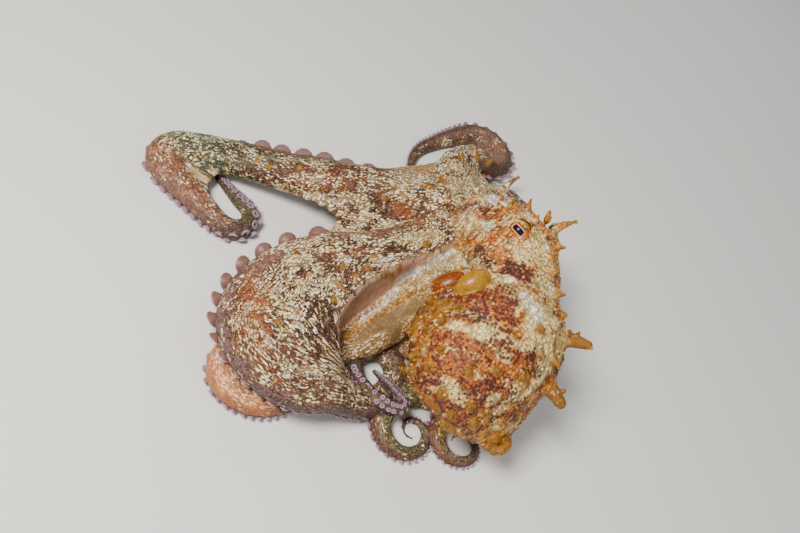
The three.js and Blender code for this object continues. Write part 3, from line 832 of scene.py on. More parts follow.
def with_sockets(field):
    """Add lid folds, then hollow out the eyeball and its opening."""
    lids = empty_field()
    for name in EYES:
        look = eye_axes(name)[2]
        for turn in np.linspace(0, 2 * math.pi, LID_BALLS, endpoint=False):
            for outside, sunk in LID_FOLDS:
                add_ball(lids, opening_edge(name, turn, outside) - look * sunk, (LID_RADIUS,) * 3, reach=4)
    field = melt(field, lids, LID_MELT)
    hollow = empty_field()
    for name, centre in EYES.items():
        add_ball(hollow, centre, (EYE_RADIUS + SOCKET_GAP,) * 3)
        long_way, short_way, look = eye_axes(name)
        for forward in SLOT_STEPS:
            radii = (OPENING_LENGTH, OPENING_HEIGHT, 2.0)
            add_ball(hollow, centre + look * forward, radii, (long_way, short_way, look), reach=4)
    return np.maximum(field, -hollow)


body = with_sockets(body)
body = cut_by_floor(body)
print("sockets hollowed for", ", ".join(EYES))

# %% [markdown]
# ## The skin mesh
#
# The field becomes a mesh, which is smoothed a little to hide the cells, and then
# thinned where it is flat so that it stays light.

# %% Mesh the field
SKIN_TRIANGLES = 186000


def mesh_from(name, points, faces):
    """A mesh object from points in crown millimetres."""
    mesh = bpy.data.meshes.new(name)
    mesh.from_pydata(to_frame(points).tolist(), [], faces)
    mesh.update()
    return link(bpy.data.objects.new(name, mesh))


def apply_modifiers(thing):
    """Turn an object's modifiers into its plain mesh."""
    graph = bpy.context.evaluated_depsgraph_get()
    mesh = bpy.data.meshes.new_from_object(thing.evaluated_get(graph))
    old = thing.data
    thing.modifiers.clear()
    thing.data = mesh
    bpy.data.meshes.remove(old)


def rows_of(layer, key):
    """Three numbers for each item of a mesh's layer."""
    flat = np.empty(len(layer) * 3, dtype=np.float32)
    layer.foreach_get(key, flat)
    return flat.reshape(-1, 3).astype(float)


skin_points, skin_triangles, skin_quads = surface_of(body)
skin = mesh_from("skin", skin_points, skin_triangles.tolist() + skin_quads.tolist())
loose = skin.modifiers.new("smooth", "SMOOTH")
loose.factor = 0.5
loose.iterations = 2
thin = skin.modifiers.new("thin", "DECIMATE")
thin.ratio = SKIN_TRIANGLES / (len(skin_triangles) + 2 * len(skin_quads))
apply_modifiers(skin)
print("skin:", len(skin.data.vertices), "points,", len(skin.data.polygons), "faces")

# %% [markdown]
# Melting and cutting can leave crumbs of flesh on the floor. Only the one large
# piece is the animal, so anything that is not joined to it is removed.

# %% Keep the one large piece
def keep_largest(thing):
    """Delete every loose part of a mesh except the largest."""
    work = bmesh.new()
    work.from_mesh(thing.data)
    work.verts.ensure_lookup_table()
    group = [-1] * len(work.verts)
    sizes = []
    for start in work.verts:
        if group[start.index] >= 0:
            continue
        group[start.index] = len(sizes)
        waiting, count = [start], 0
        while waiting:
            vert = waiting.pop()
            count += 1
            for edge in vert.link_edges:
                other = edge.other_vert(vert)
                if group[other.index] < 0:
                    group[other.index] = len(sizes)
                    waiting.append(other)
        sizes.append(count)
    largest = sizes.index(max(sizes))
    crumbs = [vert for vert in work.verts if group[vert.index] != largest]
    bmesh.ops.delete(work, geom=crumbs, context="VERTS")
    work.to_mesh(thing.data)
    work.free()
    return len(sizes) - 1


print("crumbs removed:", keep_largest(skin))

# %% [markdown]
# ## Where on the animal is each point?
#
# The paint needs to know where it is: which arm, how far along it, and how far round
# from its back. For each point of the skin these are read off the nearest rail. The
# two numbers "along" and "across", in millimetres, are what the skin's pattern will
# follow, so that the rows of grains run down each arm.

# %% Arm places for the skin
ARM_REACH = 30  # how far from an arm's box a point may still belong to it
MOST_PAIRS = 3000000  # pairs of points compared in one go


def near_arms(points):
    """For each point: arm number, distance along, angle from the back, and half breadth."""
    count = len(points)
    gap = np.full(count, 1e3)
    arm = np.zeros(count, dtype=int)
    along = np.zeros(count)
    angle = np.zeros(count)
    radius = np.full(count, 10.0)
    for number, name in enumerate(ARMS):
        rail = rails[name]
        centre = rail["centre"]
        low, high = centre.min(0) - ARM_REACH, centre.max(0) + ARM_REACH
        near = np.flatnonzero(np.all((points > low) & (points < high), axis=1))
        for part in np.array_split(near, max(1, len(near) * len(centre) // MOST_PAIRS)):
            here = points[part]
            square = (here ** 2).sum(1)[:, None] + (centre ** 2).sum(1)[None] - 2 * here @ centre.T
            away = np.sqrt(np.maximum(square, 0)) - rail["half_depth"][None]
            index = away.argmin(1)
            closer = away[np.arange(len(part)), index] < gap[part]
            part, index, here = part[closer], index[closer], here[closer]
            offset = here - centre[index]
            roll = rail["roll"][index][:, None]
            back = rail["up"][index] * np.cos(roll) + rail["left"][index] * np.sin(roll)
            side = np.cross(rail["along"][index], back)
            gap[part] = np.linalg.norm(offset, axis=1) - rail["half_depth"][index]
            arm[part] = number
            along[part] = rail["s"][index] + (offset * rail["along"][index]).sum(1)
            angle[part] = np.arctan2((offset * side).sum(1), (offset * back).sum(1))
            radius[part] = rail["half_breadth"][index]
    return dict(arm=arm, along=along, angle=angle, radius=radius)


skin_points = rows_of(skin.data.vertices, "co") * 1000 - CROWN_PLACE
skin_normals = rows_of(skin.data.vertex_normals, "vector")
on_arm = near_arms(skin_points)
print("skin points near each arm:", np.bincount(on_arm["arm"]).tolist())

# %% [markdown]
# The same is done for the webs, with the nearest point of each sheet. Shares between
# 0 and 1 then say how much of a point belongs to the web, the head, the mantle or
# the siphon, by comparing the fields they were grown from.

# %% Web, head and mantle shares for the skin
NEAR_WEB_STEP = 1.5  # the sheets are thinned to this before they are searched


def field_at(field, points):
    """A field's value at points, blended between cells."""
    place = (points - FIELD_LOW) / CELL
    cell = np.clip(np.floor(place).astype(int), 0, cell_counts - 2)
    t = np.clip(place - cell, 0, 1)
    total = 0
    for corner in np.ndindex(2, 2, 2):
        weight = np.prod(np.where(corner, t, 1 - t), axis=1)
        spot = cell + corner
        total = total + field[spot[:, 0], spot[:, 1], spot[:, 2]] * weight
    return total


def near_webs(points):
    """For each point: which web, its place along and across, and v, its share of the width."""
    spots, rows = [], []
    for number, sheet in enumerate(sheets.values()):
        keep = thinned(sheet["points"], NEAR_WEB_STEP)
        spots.append(sheet["points"][keep])
        rows.append(np.column_stack([np.full(len(keep), number), sheet["along"][keep],
                                     sheet["across"][keep], sheet["v"][keep]]))
    spots, rows = np.vstack(spots), np.vstack(rows)
    tree = kdtree.KDTree(len(spots))
    for i, spot in enumerate(spots):
        tree.insert(spot, i)
    tree.balance()
    index = np.array([tree.find(point)[1] for point in points.tolist()])
    return rows[index]


web_rows = near_webs(skin_points)
web_number = web_rows[:, 0].astype(int)
web_names = list(sheets)
grown = (arms_grown, webs_grown, head_grown, mantle_grown, siphon_grown)
arm_value, web_value, head_value, mantle_value, siphon_value = (
    field_at(field, skin_points) for field in grown)
web_share = smooth_step(arm_value - web_value, -0.5, 3.0)
limb_value = np.minimum(arm_value, web_value)
head_share = smooth_step(limb_value - head_value, -3.0, 4.0)
mantle_share = smooth_step(np.minimum(limb_value, head_value) - mantle_value, -1.0, 1.5)
siphon_share = smooth_step(-siphon_value, -1.4, -0.6)
print("web share", round(web_share.mean(), 2), "head", round(head_share.mean(), 2),
      "mantle", round(mantle_share.mean(), 2))

# %% [markdown]
# ## Painting the ground colours
#
# Under its grains the skin has a ground colour that changes slowly: maroon and rust
# on the arms, orange-brown on the mantle, cream on the head. It is painted on the
# points of the mesh, as soft patches with ragged edges, because slow changes need no
# texture. The clouds break up every edge.

# %% Colours
def colour(red, green, blue):
    """A screen colour from 0 to 255 as the linear values that Blender mixes."""
    value = np.array([red, green, blue]) / 255
    return np.where(value <= 0.04045, value / 12.92, ((value + 0.055) / 1.055) ** 2.4)


PAINTS = {
    "cream": colour(234, 210, 144), "pale": colour(250, 244, 222), "butter": colour(250, 224, 150),
    "white": colour(238, 232, 236), "sand": colour(206, 176, 112), "tan": colour(168, 122, 76),
    "flesh": colour(232, 178, 146), "peach": colour(240, 164, 112), "salmon": colour(192, 114, 76),
    "pink": colour(190, 118, 84), "gold": colour(214, 150, 6), "olive": colour(204, 136, 0),
    "ochre": colour(188, 122, 20), "amber": colour(180, 90, 0), "flame": colour(184, 82, 0),
    "rust": colour(142, 66, 32), "clay": colour(142, 86, 68), "shell": colour(126, 88, 76),
    "earth": colour(104, 62, 42), "dusk": colour(104, 74, 64), "maroon": colour(90, 46, 38),
    "wine": colour(84, 24, 28), "umber": colour(52, 26, 30), "violet": colour(98, 70, 74),
    "mauve": colour(146, 100, 86), "lilac": colour(184, 160, 186), "moss": colour(96, 90, 62),
    "teal": colour(96, 134, 112), "deep teal": colour(40, 58, 48),
}
print(len(PAINTS), "paints mixed")

# %% [markdown]
# Each arm's look changes along it. The table names the ground colour of the back and
# of the smooth side, how thickly the back is grained, and the grains' own colour.

# %% How each arm looks
# distance along: back's ground, side's ground, grain amount, grain colour
ARM_LOOKS = {
    "arm_l1": [(0, "maroon", "earth", 0.84, "cream"), (50, "maroon", "earth", 0.8, "cream"),
               (75, "maroon", "earth", 0.52, "sand"), (130, "maroon", "earth", 0.45, "sand"),
               (165, "deep teal", "moss", 0.58, "sand"), (198, "moss", "clay", 0.65, "cream"),
               (218, "clay", "mauve", 0.5, "sand"), (265, "clay", "mauve", 0.4, "sand"),
               (290, "dusk", "violet", 0.2, "sand"), (305, "moss", "moss", 0.1, "sand"),
               (355, "dusk", "violet", 0.1, "lilac")],
    "arm_l2": [(0, "maroon", "earth", 0.84, "cream"), (90, "maroon", "mauve", 0.82, "cream"),
               (220, "earth", "violet", 0.74, "cream"), (280, "dusk", "violet", 0.5, "sand"),
               (330, "dusk", "dusk", 0.16, "sand"), (460, "violet", "violet", 0.06, "lilac")],
    "arm_l3": [(0, "sand", "pink", 0.7, "sand"), (90, "tan", "tan", 0.6, "sand"),
               (130, "clay", "salmon", 0.62, "cream"), (165, "peach", "peach", 0.4, "flesh"),
               (215, "peach", "salmon", 0.4, "flesh"), (240, "moss", "violet", 0.45, "cream"),
               (271, "moss", "violet", 0.4, "cream")],
    "arm_l4": [(0, "tan", "tan", 0.3, "sand"), (110, "dusk", "dusk", 0.2, "sand"),
               (160, "moss", "clay", 0.35, "sand"), (205, "moss", "dusk", 0.3, "cream"),
               (269, "violet", "violet", 0.1, "lilac")],
    "arm_r4": [(0, "tan", "dusk", 0.3, "sand"), (130, "dusk", "clay", 0.35, "sand"),
               (180, "moss", "clay", 0.3, "sand"), (248, "violet", "violet", 0.1, "lilac")],
    "arm_r3": [(0, "earth", "earth", 0.6, "sand"), (148, "violet", "mauve", 0.2, "sand")],
    "arm_r2": [(0, "earth", "earth", 0.8, "cream"), (158, "violet", "mauve", 0.2, "sand")],
    "arm_r1": [(0, "earth", "earth", 0.9, "cream"), (90, "earth", "dusk", 0.7, "cream"),
               (115, "mauve", "dusk", 0.14, "sand"), (260, "dusk", "dusk", 0.06, "sand"),
               (313, "violet", "violet", 0.08, "lilac")],
}
print("looks written for", len(ARM_LOOKS), "arms")

# %% [markdown]
# Round an arm the look changes too: grained on the back, smooth on the side and plain
# mauve on the sucker side. The edges are made ragged by a cloud.

# %% Paint the arms
BACK_HALF_ANGLE = 1.4  # radians from the middle of the back to the smooth side
ORAL_FROM_ANGLE = 2.45  # radians from the middle of the back to the sucker side
NARROW_BACK = 0.25  # how much narrower arm l2's grained back is near its root


def mixed_along(stops, along, pick):
    """A colour or amount of a look table, blended along an arm."""
    places = np.array([stop[0] for stop in stops], dtype=float)
    values = np.array([pick(stop) for stop in stops], dtype=float)
    if values.ndim == 1:
        return np.interp(along, places, values)
    return np.column_stack([np.interp(along, places, values[:, k]) for k in range(values.shape[1])])


def blend_in(base, value, amount):
    """Mix a value into base rows by an amount per row."""
    amount = np.asarray(amount)
    if base.ndim == 2:
        amount = amount[:, None]
    return base * (1 - amount) + value * amount


def arm_paint():
    """Ground, grain colour and grain amount as if every point were on its arm."""
    ground = np.zeros((len(skin_points), 3))
    grain_colour = np.zeros((len(skin_points), 3))
    grain = np.zeros(len(skin_points))
    rough_angle = np.abs(on_arm["angle"]) + (cloud(skin_points, 7, 1) - 0.5) * 0.5
    narrowed = NARROW_BACK * (1 - smooth_step(on_arm["along"], 150, 200))
    rough_angle = rough_angle + np.where(on_arm["arm"] == list(ARMS).index("arm_l2"), narrowed, 0.0)
    to_side = smooth_step(rough_angle, BACK_HALF_ANGLE - 0.25, BACK_HALF_ANGLE + 0.3)
    to_oral = smooth_step(np.abs(on_arm["angle"]), ORAL_FROM_ANGLE - 0.2, ORAL_FROM_ANGLE + 0.2)
    for number, (name, stops) in enumerate(ARM_LOOKS.items()):
        here = on_arm["arm"] == number
        along = on_arm["along"][here]
        back = mixed_along(stops, along, lambda stop: PAINTS[stop[1]])
        side = mixed_along(stops, along, lambda stop: PAINTS[stop[2]])
        colours = blend_in(back, side, to_side[here])
        ground[here] = blend_in(colours, PAINTS["violet"] * 0.6 + PAINTS["mauve"] * 0.4, to_oral[here])
        grain_colour[here] = mixed_along(stops, along, lambda stop: PAINTS[stop[4]])
        grain[here] = mixed_along(stops, along, lambda stop: stop[3]) * (1 - 0.85 * to_side[here])
    return ground, grain_colour, grain * (1 - to_oral)


ground, grain_colour, grain = arm_paint()
print("arms painted; mean grain", round(grain.mean(), 2))

# %% [markdown]
# The webs continue the look of the arms they join. The broad veil is grained like
# the arms, while the fold of web under the crest, and every underside, is smooth.
# The web in arm l1's fold is darkened as painted shade. The undersides are pink,
# their own colour, and dimmed as painted shade.

# %% Paint the webs
# each web's ground, and how thickly it is grained; the other webs are bare tan
WEB_LOOKS = {"web_l2_veil": ("maroon", 0.84), "web_l1_l2": ("maroon", 0.84), "web_r2_r1": ("earth", 0.85),
             "web_l1_fold": ("moss", 0.8), "web_l2_l3": ("flesh", 0.0)}
BARE_GRAIN = 0.3
# painted shade: the web in arm l1's fold is darkened to 0.7, and web undersides to 0.8 of their pink
FOLD_PAINTED_SHADE, UNDERSIDE_PAINTED_SHADE = 0.7, 0.8


def paint_webs():
    """Blend the webs' ground and grain into the arms'."""
    web_ground = np.tile(PAINTS["tan"], (len(skin_points), 1))
    web_grain = np.full(len(skin_points), BARE_GRAIN)
    for name, (paint, amount) in WEB_LOOKS.items():
        here = web_number == web_names.index(name)
        # painted shade: the moss of the web in arm l1's fold is darkened, where the fold lies in shadow
        web_ground[here] = PAINTS[paint] * (FOLD_PAINTED_SHADE if name == "web_l1_fold" else 1.0)
        web_grain[here] = amount
    valley = web_number == web_names.index("web_l2_l3")
    to_tan = smooth_step(web_rows[:, 3][:, None], 0.45, 0.7)
    web_ground[valley] = (PAINTS["flesh"] + (PAINTS["tan"] - PAINTS["flesh"]) * to_tan)[valley]
    under = smooth_step(-skin_normals[:, 2], 0.05, 0.3)
    # the undersides' pink is their own colour; dimming it is painted shade
    web_ground = blend_in(web_ground, PAINTS["pink"] * UNDERSIDE_PAINTED_SHADE, under)
    share = web_share * (1 - head_share)
    return (blend_in(ground, web_ground, share), blend_in(grain_colour, PAINTS["cream"], share),
            blend_in(grain, web_grain * (1 - under), share))


ground, grain_colour, grain = paint_webs()
print("webs painted; mean grain", round(grain.mean(), 2))

# %% [markdown]
# ### Head, mantle and siphon
#
# The mantle is orange-brown and dotted with dark purple; the head is paler and
# finely grained; the siphon is clear orange. "Dots" says how strongly the dark dots
# show. The siphon's paint is kept for later, because it covers the patches too.

# %% Paint the head, mantle and siphon
dots = np.zeros(len(skin_points))


def patchy(size, seed, low, high):
    """Ragged patches of the skin, 0 outside and 1 inside; low and high set how rare they are."""
    mixed = cloud(skin_points, size, seed) * 0.65 + cloud(skin_points, size * 0.4, seed + 20) * 0.35
    return smooth_step(mixed, low, high)


def coat(*layers):
    """Colours painted over one another, each with its own mask."""
    rows = np.tile(PAINTS[layers[0]], (len(skin_points), 1))
    for paint, mask in layers[1:]:
        rows = blend_in(rows, PAINTS[paint], mask)
    return rows


def lobe_gap(lobe):
    """How far each point is from a lobe's middle, over the lobe's length."""
    return np.linalg.norm(skin_points - lobe["middle"], axis=1) / lobe["radii"][0]


def paint_body():
    """Blend head, mantle and siphon over the arms and webs."""
    clusters = patchy(14, 4, 0.40, 0.60)
    pale_spots = patchy(8, 39, 0.66, 0.76)
    head = coat("sand", ("amber", patchy(13, 2, 0.44, 0.60)), ("earth", patchy(8, 31, 0.58, 0.70) * 0.75),
                ("pale", patchy(9, 33, 0.56, 0.68) * 0.8))
    mantle = coat("amber", ("rust", patchy(11, 35, 0.46, 0.64) * 0.6), ("wine", clusters * 0.42),
                  ("olive", patchy(12, 37, 0.50, 0.64) * 0.7), ("cream", pale_spots * 0.7))
    right_lobe = smooth_step(lobe_gap(SIPHON_LOBES[0]) - lobe_gap(SIPHON_LOBES[1]), -0.1, 0.12)
    rim = 4 * siphon_share * (1 - siphon_share)
    siphon = coat("flame", ("gold", right_lobe), ("lilac", rim * 0.35 * (1 - right_lobe)))
    new_ground = blend_in(blend_in(ground, head, head_share), mantle, mantle_share)
    new_grain = blend_in(blend_in(grain, 0.60, head_share), 0.14, mantle_share)
    new_grain_colour = blend_in(grain_colour, PAINTS["cream"], np.maximum(head_share, mantle_share))
    new_dots = blend_in(dots, 0.10 + 0.25 * patchy(8, 41, 0.5, 0.62), head_share)
    new_dots = blend_in(new_dots, (0.18 + 0.85 * clusters) * (1 - pale_spots), mantle_share)
    return new_ground, new_grain_colour, new_grain, new_dots, siphon


ground, grain_colour, grain, dots, siphon_paint = paint_body()
print("body painted; mean dots on the mantle", round(dots[mantle_share > 0.5].mean(), 2))

# %% [markdown]
# ### Patches
#
# The last coat is a list of patches, each between two spots that the camera sees.
# They give this one animal its own markings: rust and umber on the veil, a pale
# saddle on the crown, yellow along the mantle's edge.

# %% The patches
# x and y of one end, x and y of the other, radius in mm, paint, strength
GROUND_PATCHES = [
    (254, 290, 258, 340, 13, "rust", 0.75), (250, 282, 256, 330, 9, "salmon", 0.32),
    (364, 200, 412, 216, 9, "umber", 0.6), (350, 186, 374, 187, 5, "umber", 0.5),
    (362, 324, 396, 291, 2.2, "white", 0.7), (262, 350, 275, 368, 8, "rust", 0.5),
    (300, 180, 345, 184, 7, "rust", 0.5), (330, 245, 350, 250, 8, "rust", 0.5),
    (292, 262, 318, 268, 8, "umber", 0.8), (322, 240, 345, 244, 7, "umber", 0.6),
    (352, 262, 388, 258, 6, "umber", 0.8), (322, 300, 330, 335, 11, "umber", 0.7),
    (300, 305, 312, 350, 7, "umber", 0.6), (392, 246, 405, 240, 6, "umber", 0.6),
    (186, 138, 204, 160, 8, "deep teal", 0.75), (255, 158, 345, 163, 4, "teal", 0.45),
    (160, 130, 205, 138, 6, "teal", 0.45), (355, 175, 420, 205, 8, "earth", 0.7),
    (400, 205, 424, 222, 9, "rust", 0.8), (370, 215, 398, 228, 6, "umber", 0.55),
    (448, 204, 498, 216, 6, "rust", 0.6), (462, 206, 486, 212, 3.5, "umber", 0.6),
    (446, 228, 452, 238, 4.5, "umber", 0.7), (440, 276, 456, 270, 2.2, "umber", 0.7),
    (414, 238, 436, 236, 7, "sand", 0.8), (455, 186, 500, 182, 9, "cream", 0.4),
    (400, 184, 488, 184, 9, "sand", 0.45), (446, 148, 474, 164, 9, "umber", 0.5),
    (484, 195, 494, 204, 5.5, "white", 0.9), (508, 245, 518, 252, 6, "cream", 0.7),
    (480, 246, 500, 256, 11, "amber", 0.9), (440, 208, 458, 226, 5, "rust", 0.6),
    (506, 270, 524, 273, 8, "rust", 0.9), (509, 269, 521, 273, 6, "wine", 0.5),
    (476, 251, 488, 260, 5, "wine", 0.75),
    (536, 240, 546, 262, 8, "sand", 0.9), (545, 275, 552, 305, 6, "sand", 0.9),
    (498, 286, 530, 300, 8, "sand", 0.6), (396, 281, 452, 252, 3.0, "white", 0.9),
    (342, 318, 366, 314, 1.6, "lilac", 0.6),
    (440, 322, 482, 332, 4.5, "cream", 0.85), (482, 332, 530, 348, 4.5, "cream", 0.8),
    (448, 388, 462, 398, 6, "cream", 0.7), (540, 305, 560, 355, 7, "sand", 0.8),
    (500, 410, 520, 384, 5, "cream", 0.7), (522, 330, 556, 322, 5, "cream", 0.5),
    (410, 330, 406, 375, 6, "olive", 0.9), (420, 395, 445, 430, 6, "olive", 0.8),
    (430, 300, 412, 332, 7, "olive", 0.8), (452, 432, 500, 436, 5, "olive", 0.7),
    (495, 445, 503, 452, 14, "olive", 0.9), (464, 311, 480, 315, 5, "umber", 0.6),
    (470, 300, 500, 290, 6, "amber", 0.6), (532, 356, 543, 372, 4, "umber", 0.6),
    (495, 425, 515, 425, 5, "cream", 0.5), (534, 318, 546, 366, 10, "cream", 0.9),
    (516, 398, 544, 374, 5, "cream", 0.7), (528, 300, 540, 318, 6, "pale", 0.7),
    (435, 289, 446, 295, 1.6, "lilac", 0.5), (446, 295, 460, 292, 1.6, "lilac", 0.4),
]
# the same, with an amount to move towards
GRAIN_PATCHES = [
    (508, 268, 522, 272, 8, 0.05), (466, 246, 496, 257, 10, 0.12),
    (364, 200, 416, 216, 9, 0.42), (346, 186, 376, 187, 5, 0.45), (456, 208, 494, 212, 5, 0.35),
    (322, 258, 342, 268, 8, 0.40), (352, 252, 392, 248, 7, 0.42), (306, 300, 322, 340, 8, 0.58),
    (266, 334, 284, 352, 7, 0.40), (400, 232, 430, 246, 6, 0.45), (446, 168, 500, 186, 9, 1.2),
    (260, 248, 290, 246, 7, 0.95), (300, 250, 330, 236, 6, 0.9), (298, 290, 304, 305, 6, 0.95),
    (285, 325, 292, 340, 6, 0.9), (268, 340, 274, 352, 5, 0.9), (330, 230, 372, 250, 5, 0.95),
    (412, 178, 440, 180, 9, 0.98), (446, 146, 476, 166, 9, 1.0), (414, 238, 436, 236, 6, 0.98),
    (340, 341, 400, 301, 3.5, 0.9), (400, 301, 464, 268, 3.5, 0.9),
    (362, 335, 418, 303, 6, 0.0), (395, 330, 430, 310, 9, 0.0), (438, 322, 530, 348, 5, 0.85),
    (250, 195, 330, 178, 8, 0.8), (300, 196, 360, 200, 8, 0.95), (244, 290, 256, 330, 11, 0.55),
]
DOT_PATCHES = [
    (478, 252, 490, 264, 5, 0.95), (508, 270, 526, 274, 8, 1.0), (494, 296, 505, 340, 11, 0.95),
    (505, 354, 520, 360, 6, 0.95), (500, 375, 510, 396, 8, 0.85), (466, 388, 480, 404, 8, 0.8),
    (430, 332, 438, 364, 5, 0.75), (444, 335, 462, 342, 6, 0.7), (464, 311, 484, 314, 6, 0.85),
    (530, 356, 542, 372, 5, 0.8), (440, 322, 530, 346, 4, 0.0), (410, 330, 406, 375, 7, 0.05),
    (450, 204, 500, 216, 7, 0.75), (440, 356, 462, 366, 6, 0.75), (480, 354, 490, 362, 4, 0.8),
    (542, 300, 560, 350, 6, 0.1), (495, 445, 503, 452, 16, 0.0),
]
print(len(GROUND_PATCHES), "patches of colour,", len(GRAIN_PATCHES), "of grains,",
      len(DOT_PATCHES), "of dots")

# %% [markdown]
# A patch covers what lies near the line between its two spots, with its edge broken
# up by a cloud. Pale patches clear the dark dots away. The siphon's paint goes over
# all the patches.

# %% Lay the patches
DOTLESS_PAINTS = ("cream", "pale", "sand", "white")


def along_line(points, foot, line):
    """How far along a line each point is, from 0 to 1, and its distance from the line."""
    t = np.clip(((points - foot) @ line) / (line @ line), 0, 1)
    return t, np.linalg.norm(points - foot - t[:, None] * line, axis=1)


def patch_mask(spec):
    """1 inside a patch, 0 outside, with a ragged edge."""
    x, y, end_x, end_y, radius = spec[:5]
    first = seen_at(x, y)
    away = along_line(skin_points, first, seen_at(end_x, end_y) - first)[1] / radius
    ragged = (cloud(skin_points, radius * 0.5 + 1.5, 6) - 0.5) * 0.8
    return 1 - smooth_step(away + ragged, 0.6, 1.05)


for spec in GROUND_PATCHES:
    mask = patch_mask(spec) * spec[6]
    ground = blend_in(ground, PAINTS[spec[5]], mask)
    if spec[5] in DOTLESS_PAINTS:
        dots = dots * (1 - 0.9 * mask)
for spec in GRAIN_PATCHES:
    grain = blend_in(grain, spec[5], patch_mask(spec))
for spec in DOT_PATCHES:
    dots = blend_in(dots, spec[5], patch_mask(spec))
ground = blend_in(ground, siphon_paint, siphon_share)
grain, dots = grain * (1 - siphon_share), dots * (1 - siphon_share)
print("patches laid; mean grain", round(grain.mean(), 2), "mean dots", round(dots.mean(), 2))

# %% [markdown]
# Papillae are ochre, brightest at the tip, so each one tints the skin round it.

# %% Tint the papillae
def tint_papillae():
    """Ochre on and round every papilla."""
    tinted, bare, quiet = ground, grain, dots
    for foot, tip, radius in spike_lines:
        t, away = along_line(skin_points, foot, tip - foot)
        mask = (1 - smooth_step(away, radius * 0.9, radius * 1.7)) * (0.45 + 0.5 * t)
        tinted = blend_in(tinted, PAINTS["ochre"], mask)
        bare = bare * (1 - mask)
        quiet = quiet * (1 - mask)
    return tinted, bare, quiet


ground, grain, dots = tint_papillae()
print("papillae tinted")

# %% [markdown]
# ### Handing the paint to the shader
#
# Paint kept on points travels with the mesh as attributes. Two more attributes hold
# the places along and across the arm and the web, for the pattern of grains. A third
# number sets arms and webs apart, so that no two share a pattern.

# %% Store the paint
LAYER_KINDS = {1: ("FLOAT", "value"), 3: ("FLOAT_VECTOR", "vector"), 4: ("FLOAT_COLOR", "color")}
PATTERN_STEP, WEB_PATTERN_START = 50.0, 7  # between the patterns of neighbours


def store(mesh, name, rows):
    """Keep a number, three numbers or a colour of four on each point."""
    rows = np.ascontiguousarray(rows, dtype=np.float32)
    kind, key = LAYER_KINDS[1 if rows.ndim == 1 else rows.shape[1]]
    mesh.attributes.new(name, kind, "POINT").data.foreach_set(key, rows.ravel())


def shade_smooth(mesh):
    """Shade a mesh smoothly."""
    for face in mesh.polygons:
        face.use_smooth = True


opaque = np.ones(len(skin_points))
eye_clear = np.min([np.linalg.norm(skin_points - place, axis=1) for place in EYES.values()], axis=0)
wart_share = np.maximum(head_share, mantle_share * (0.35 + 0.65 * patchy(15, 43, 0.45, 0.6)))
wart_share = np.maximum(wart_share, 0.16 * smooth_step(grain, 0.5, 0.8) * patchy(20, 45, 0.45, 0.6))
wart_share = wart_share * (1 - siphon_share) * smooth_step(eye_clear, 11.5, 13.5)
arm_across = on_arm["angle"] * np.maximum(on_arm["radius"], 2.0)
web_pattern = web_rows[:, 0] * PATTERN_STEP + WEB_PATTERN_START
store(skin.data, "ground", np.column_stack([ground, opaque]))
store(skin.data, "grain_colour", np.column_stack([grain_colour, opaque]))
store(skin.data, "amounts", np.column_stack([grain, dots, siphon_share]))
store(skin.data, "arm_place", np.column_stack([on_arm["along"], arm_across, on_arm["arm"] * PATTERN_STEP]))
store(skin.data, "web_place", np.column_stack([web_rows[:, 1], web_rows[:, 2], web_pattern]))
store(skin.data, "on_web", web_share * (1 - head_share))
store(skin.data, "on_body", np.maximum(np.maximum(head_share, mantle_share), siphon_share))
store(skin.data, "wart_share", wart_share)
shade_smooth(skin.data)
print("layers kept on the skin:", len(skin.data.attributes))

# %% [markdown]
# ## Shader building blocks
#
# A material is a graph of nodes. A few short helpers keep the graphs readable: they
# make a node, link or set its inputs, and do arithmetic.

# %% Node helpers
def add_node(tree, kind, **settings):
    """A new node with its properties set."""
    node = tree.nodes.new(kind)
    for name, value in settings.items():
        setattr(node, name, value)
    return node


def feed(tree, socket, value):
    """Link a socket to another node's output, or set its plain value."""
    if isinstance(value, bpy.types.NodeSocket):
        tree.links.new(value, socket)
    else:
        socket.default_value = value


def feed_all(tree, node, values):
    """Feed a node's inputs, each found by its name or number."""
    for key, value in values.items():
        feed(tree, node.inputs[key], value)


def calc(tree, operation, *values):
    """A Math node's result."""
    node = add_node(tree, "ShaderNodeMath", operation=operation)
    feed_all(tree, node, dict(enumerate(values)))
    return node.outputs[0]


def vector_calc(tree, operation, a, b):
    """A Vector Math node's vector result."""
    node = add_node(tree, "ShaderNodeVectorMath", operation=operation)
    feed_all(tree, node, {0: a, 1: b})
    return node.outputs[0]


def ramp(tree, value, low, high, low_out=0.0, high_out=1.0):
    """A smooth change from low_out to high_out as value goes from low to high."""
    node = add_node(tree, "ShaderNodeMapRange", interpolation_type="SMOOTHSTEP")
    feed_all(tree, node, dict(enumerate((value, low, high, low_out, high_out))))
    return node.outputs[0]


print("node helpers ready")

# %% [markdown]
# A second handful mixes colours and numbers, reads the painted layers, and makes
# noise and bumps.

# %% Helpers for colours, layers and textures
def mix_colour(tree, share, a, b, how="MIX"):
    """Two colours mixed by a share."""
    node = add_node(tree, "ShaderNodeMix", data_type="RGBA", blend_type=how)
    feed_all(tree, node, {0: share, 6: a, 7: b})
    return node.outputs[2]


def mix_value(tree, share, a, b):
    """Two numbers mixed by a share."""
    node = add_node(tree, "ShaderNodeMix", data_type="FLOAT")
    feed_all(tree, node, {0: share, 2: a, 3: b})
    return node.outputs[0]


def read_attribute(tree, name, output="Fac"):
    """One of the stored layers."""
    return add_node(tree, "ShaderNodeAttribute", attribute_name=name).outputs[output]


def split_vector(tree, vector):
    """A vector's three numbers."""
    node = add_node(tree, "ShaderNodeSeparateXYZ")
    feed(tree, node.inputs[0], vector)
    return node.outputs


def noise_value(tree, place, scale, detail=2.0, output="Fac"):
    """A Noise texture's value, scale being bumps for each unit of place."""
    node = add_node(tree, "ShaderNodeTexNoise")
    feed_all(tree, node, {"Vector": place, "Scale": scale, "Detail": detail})
    return node.outputs[output]


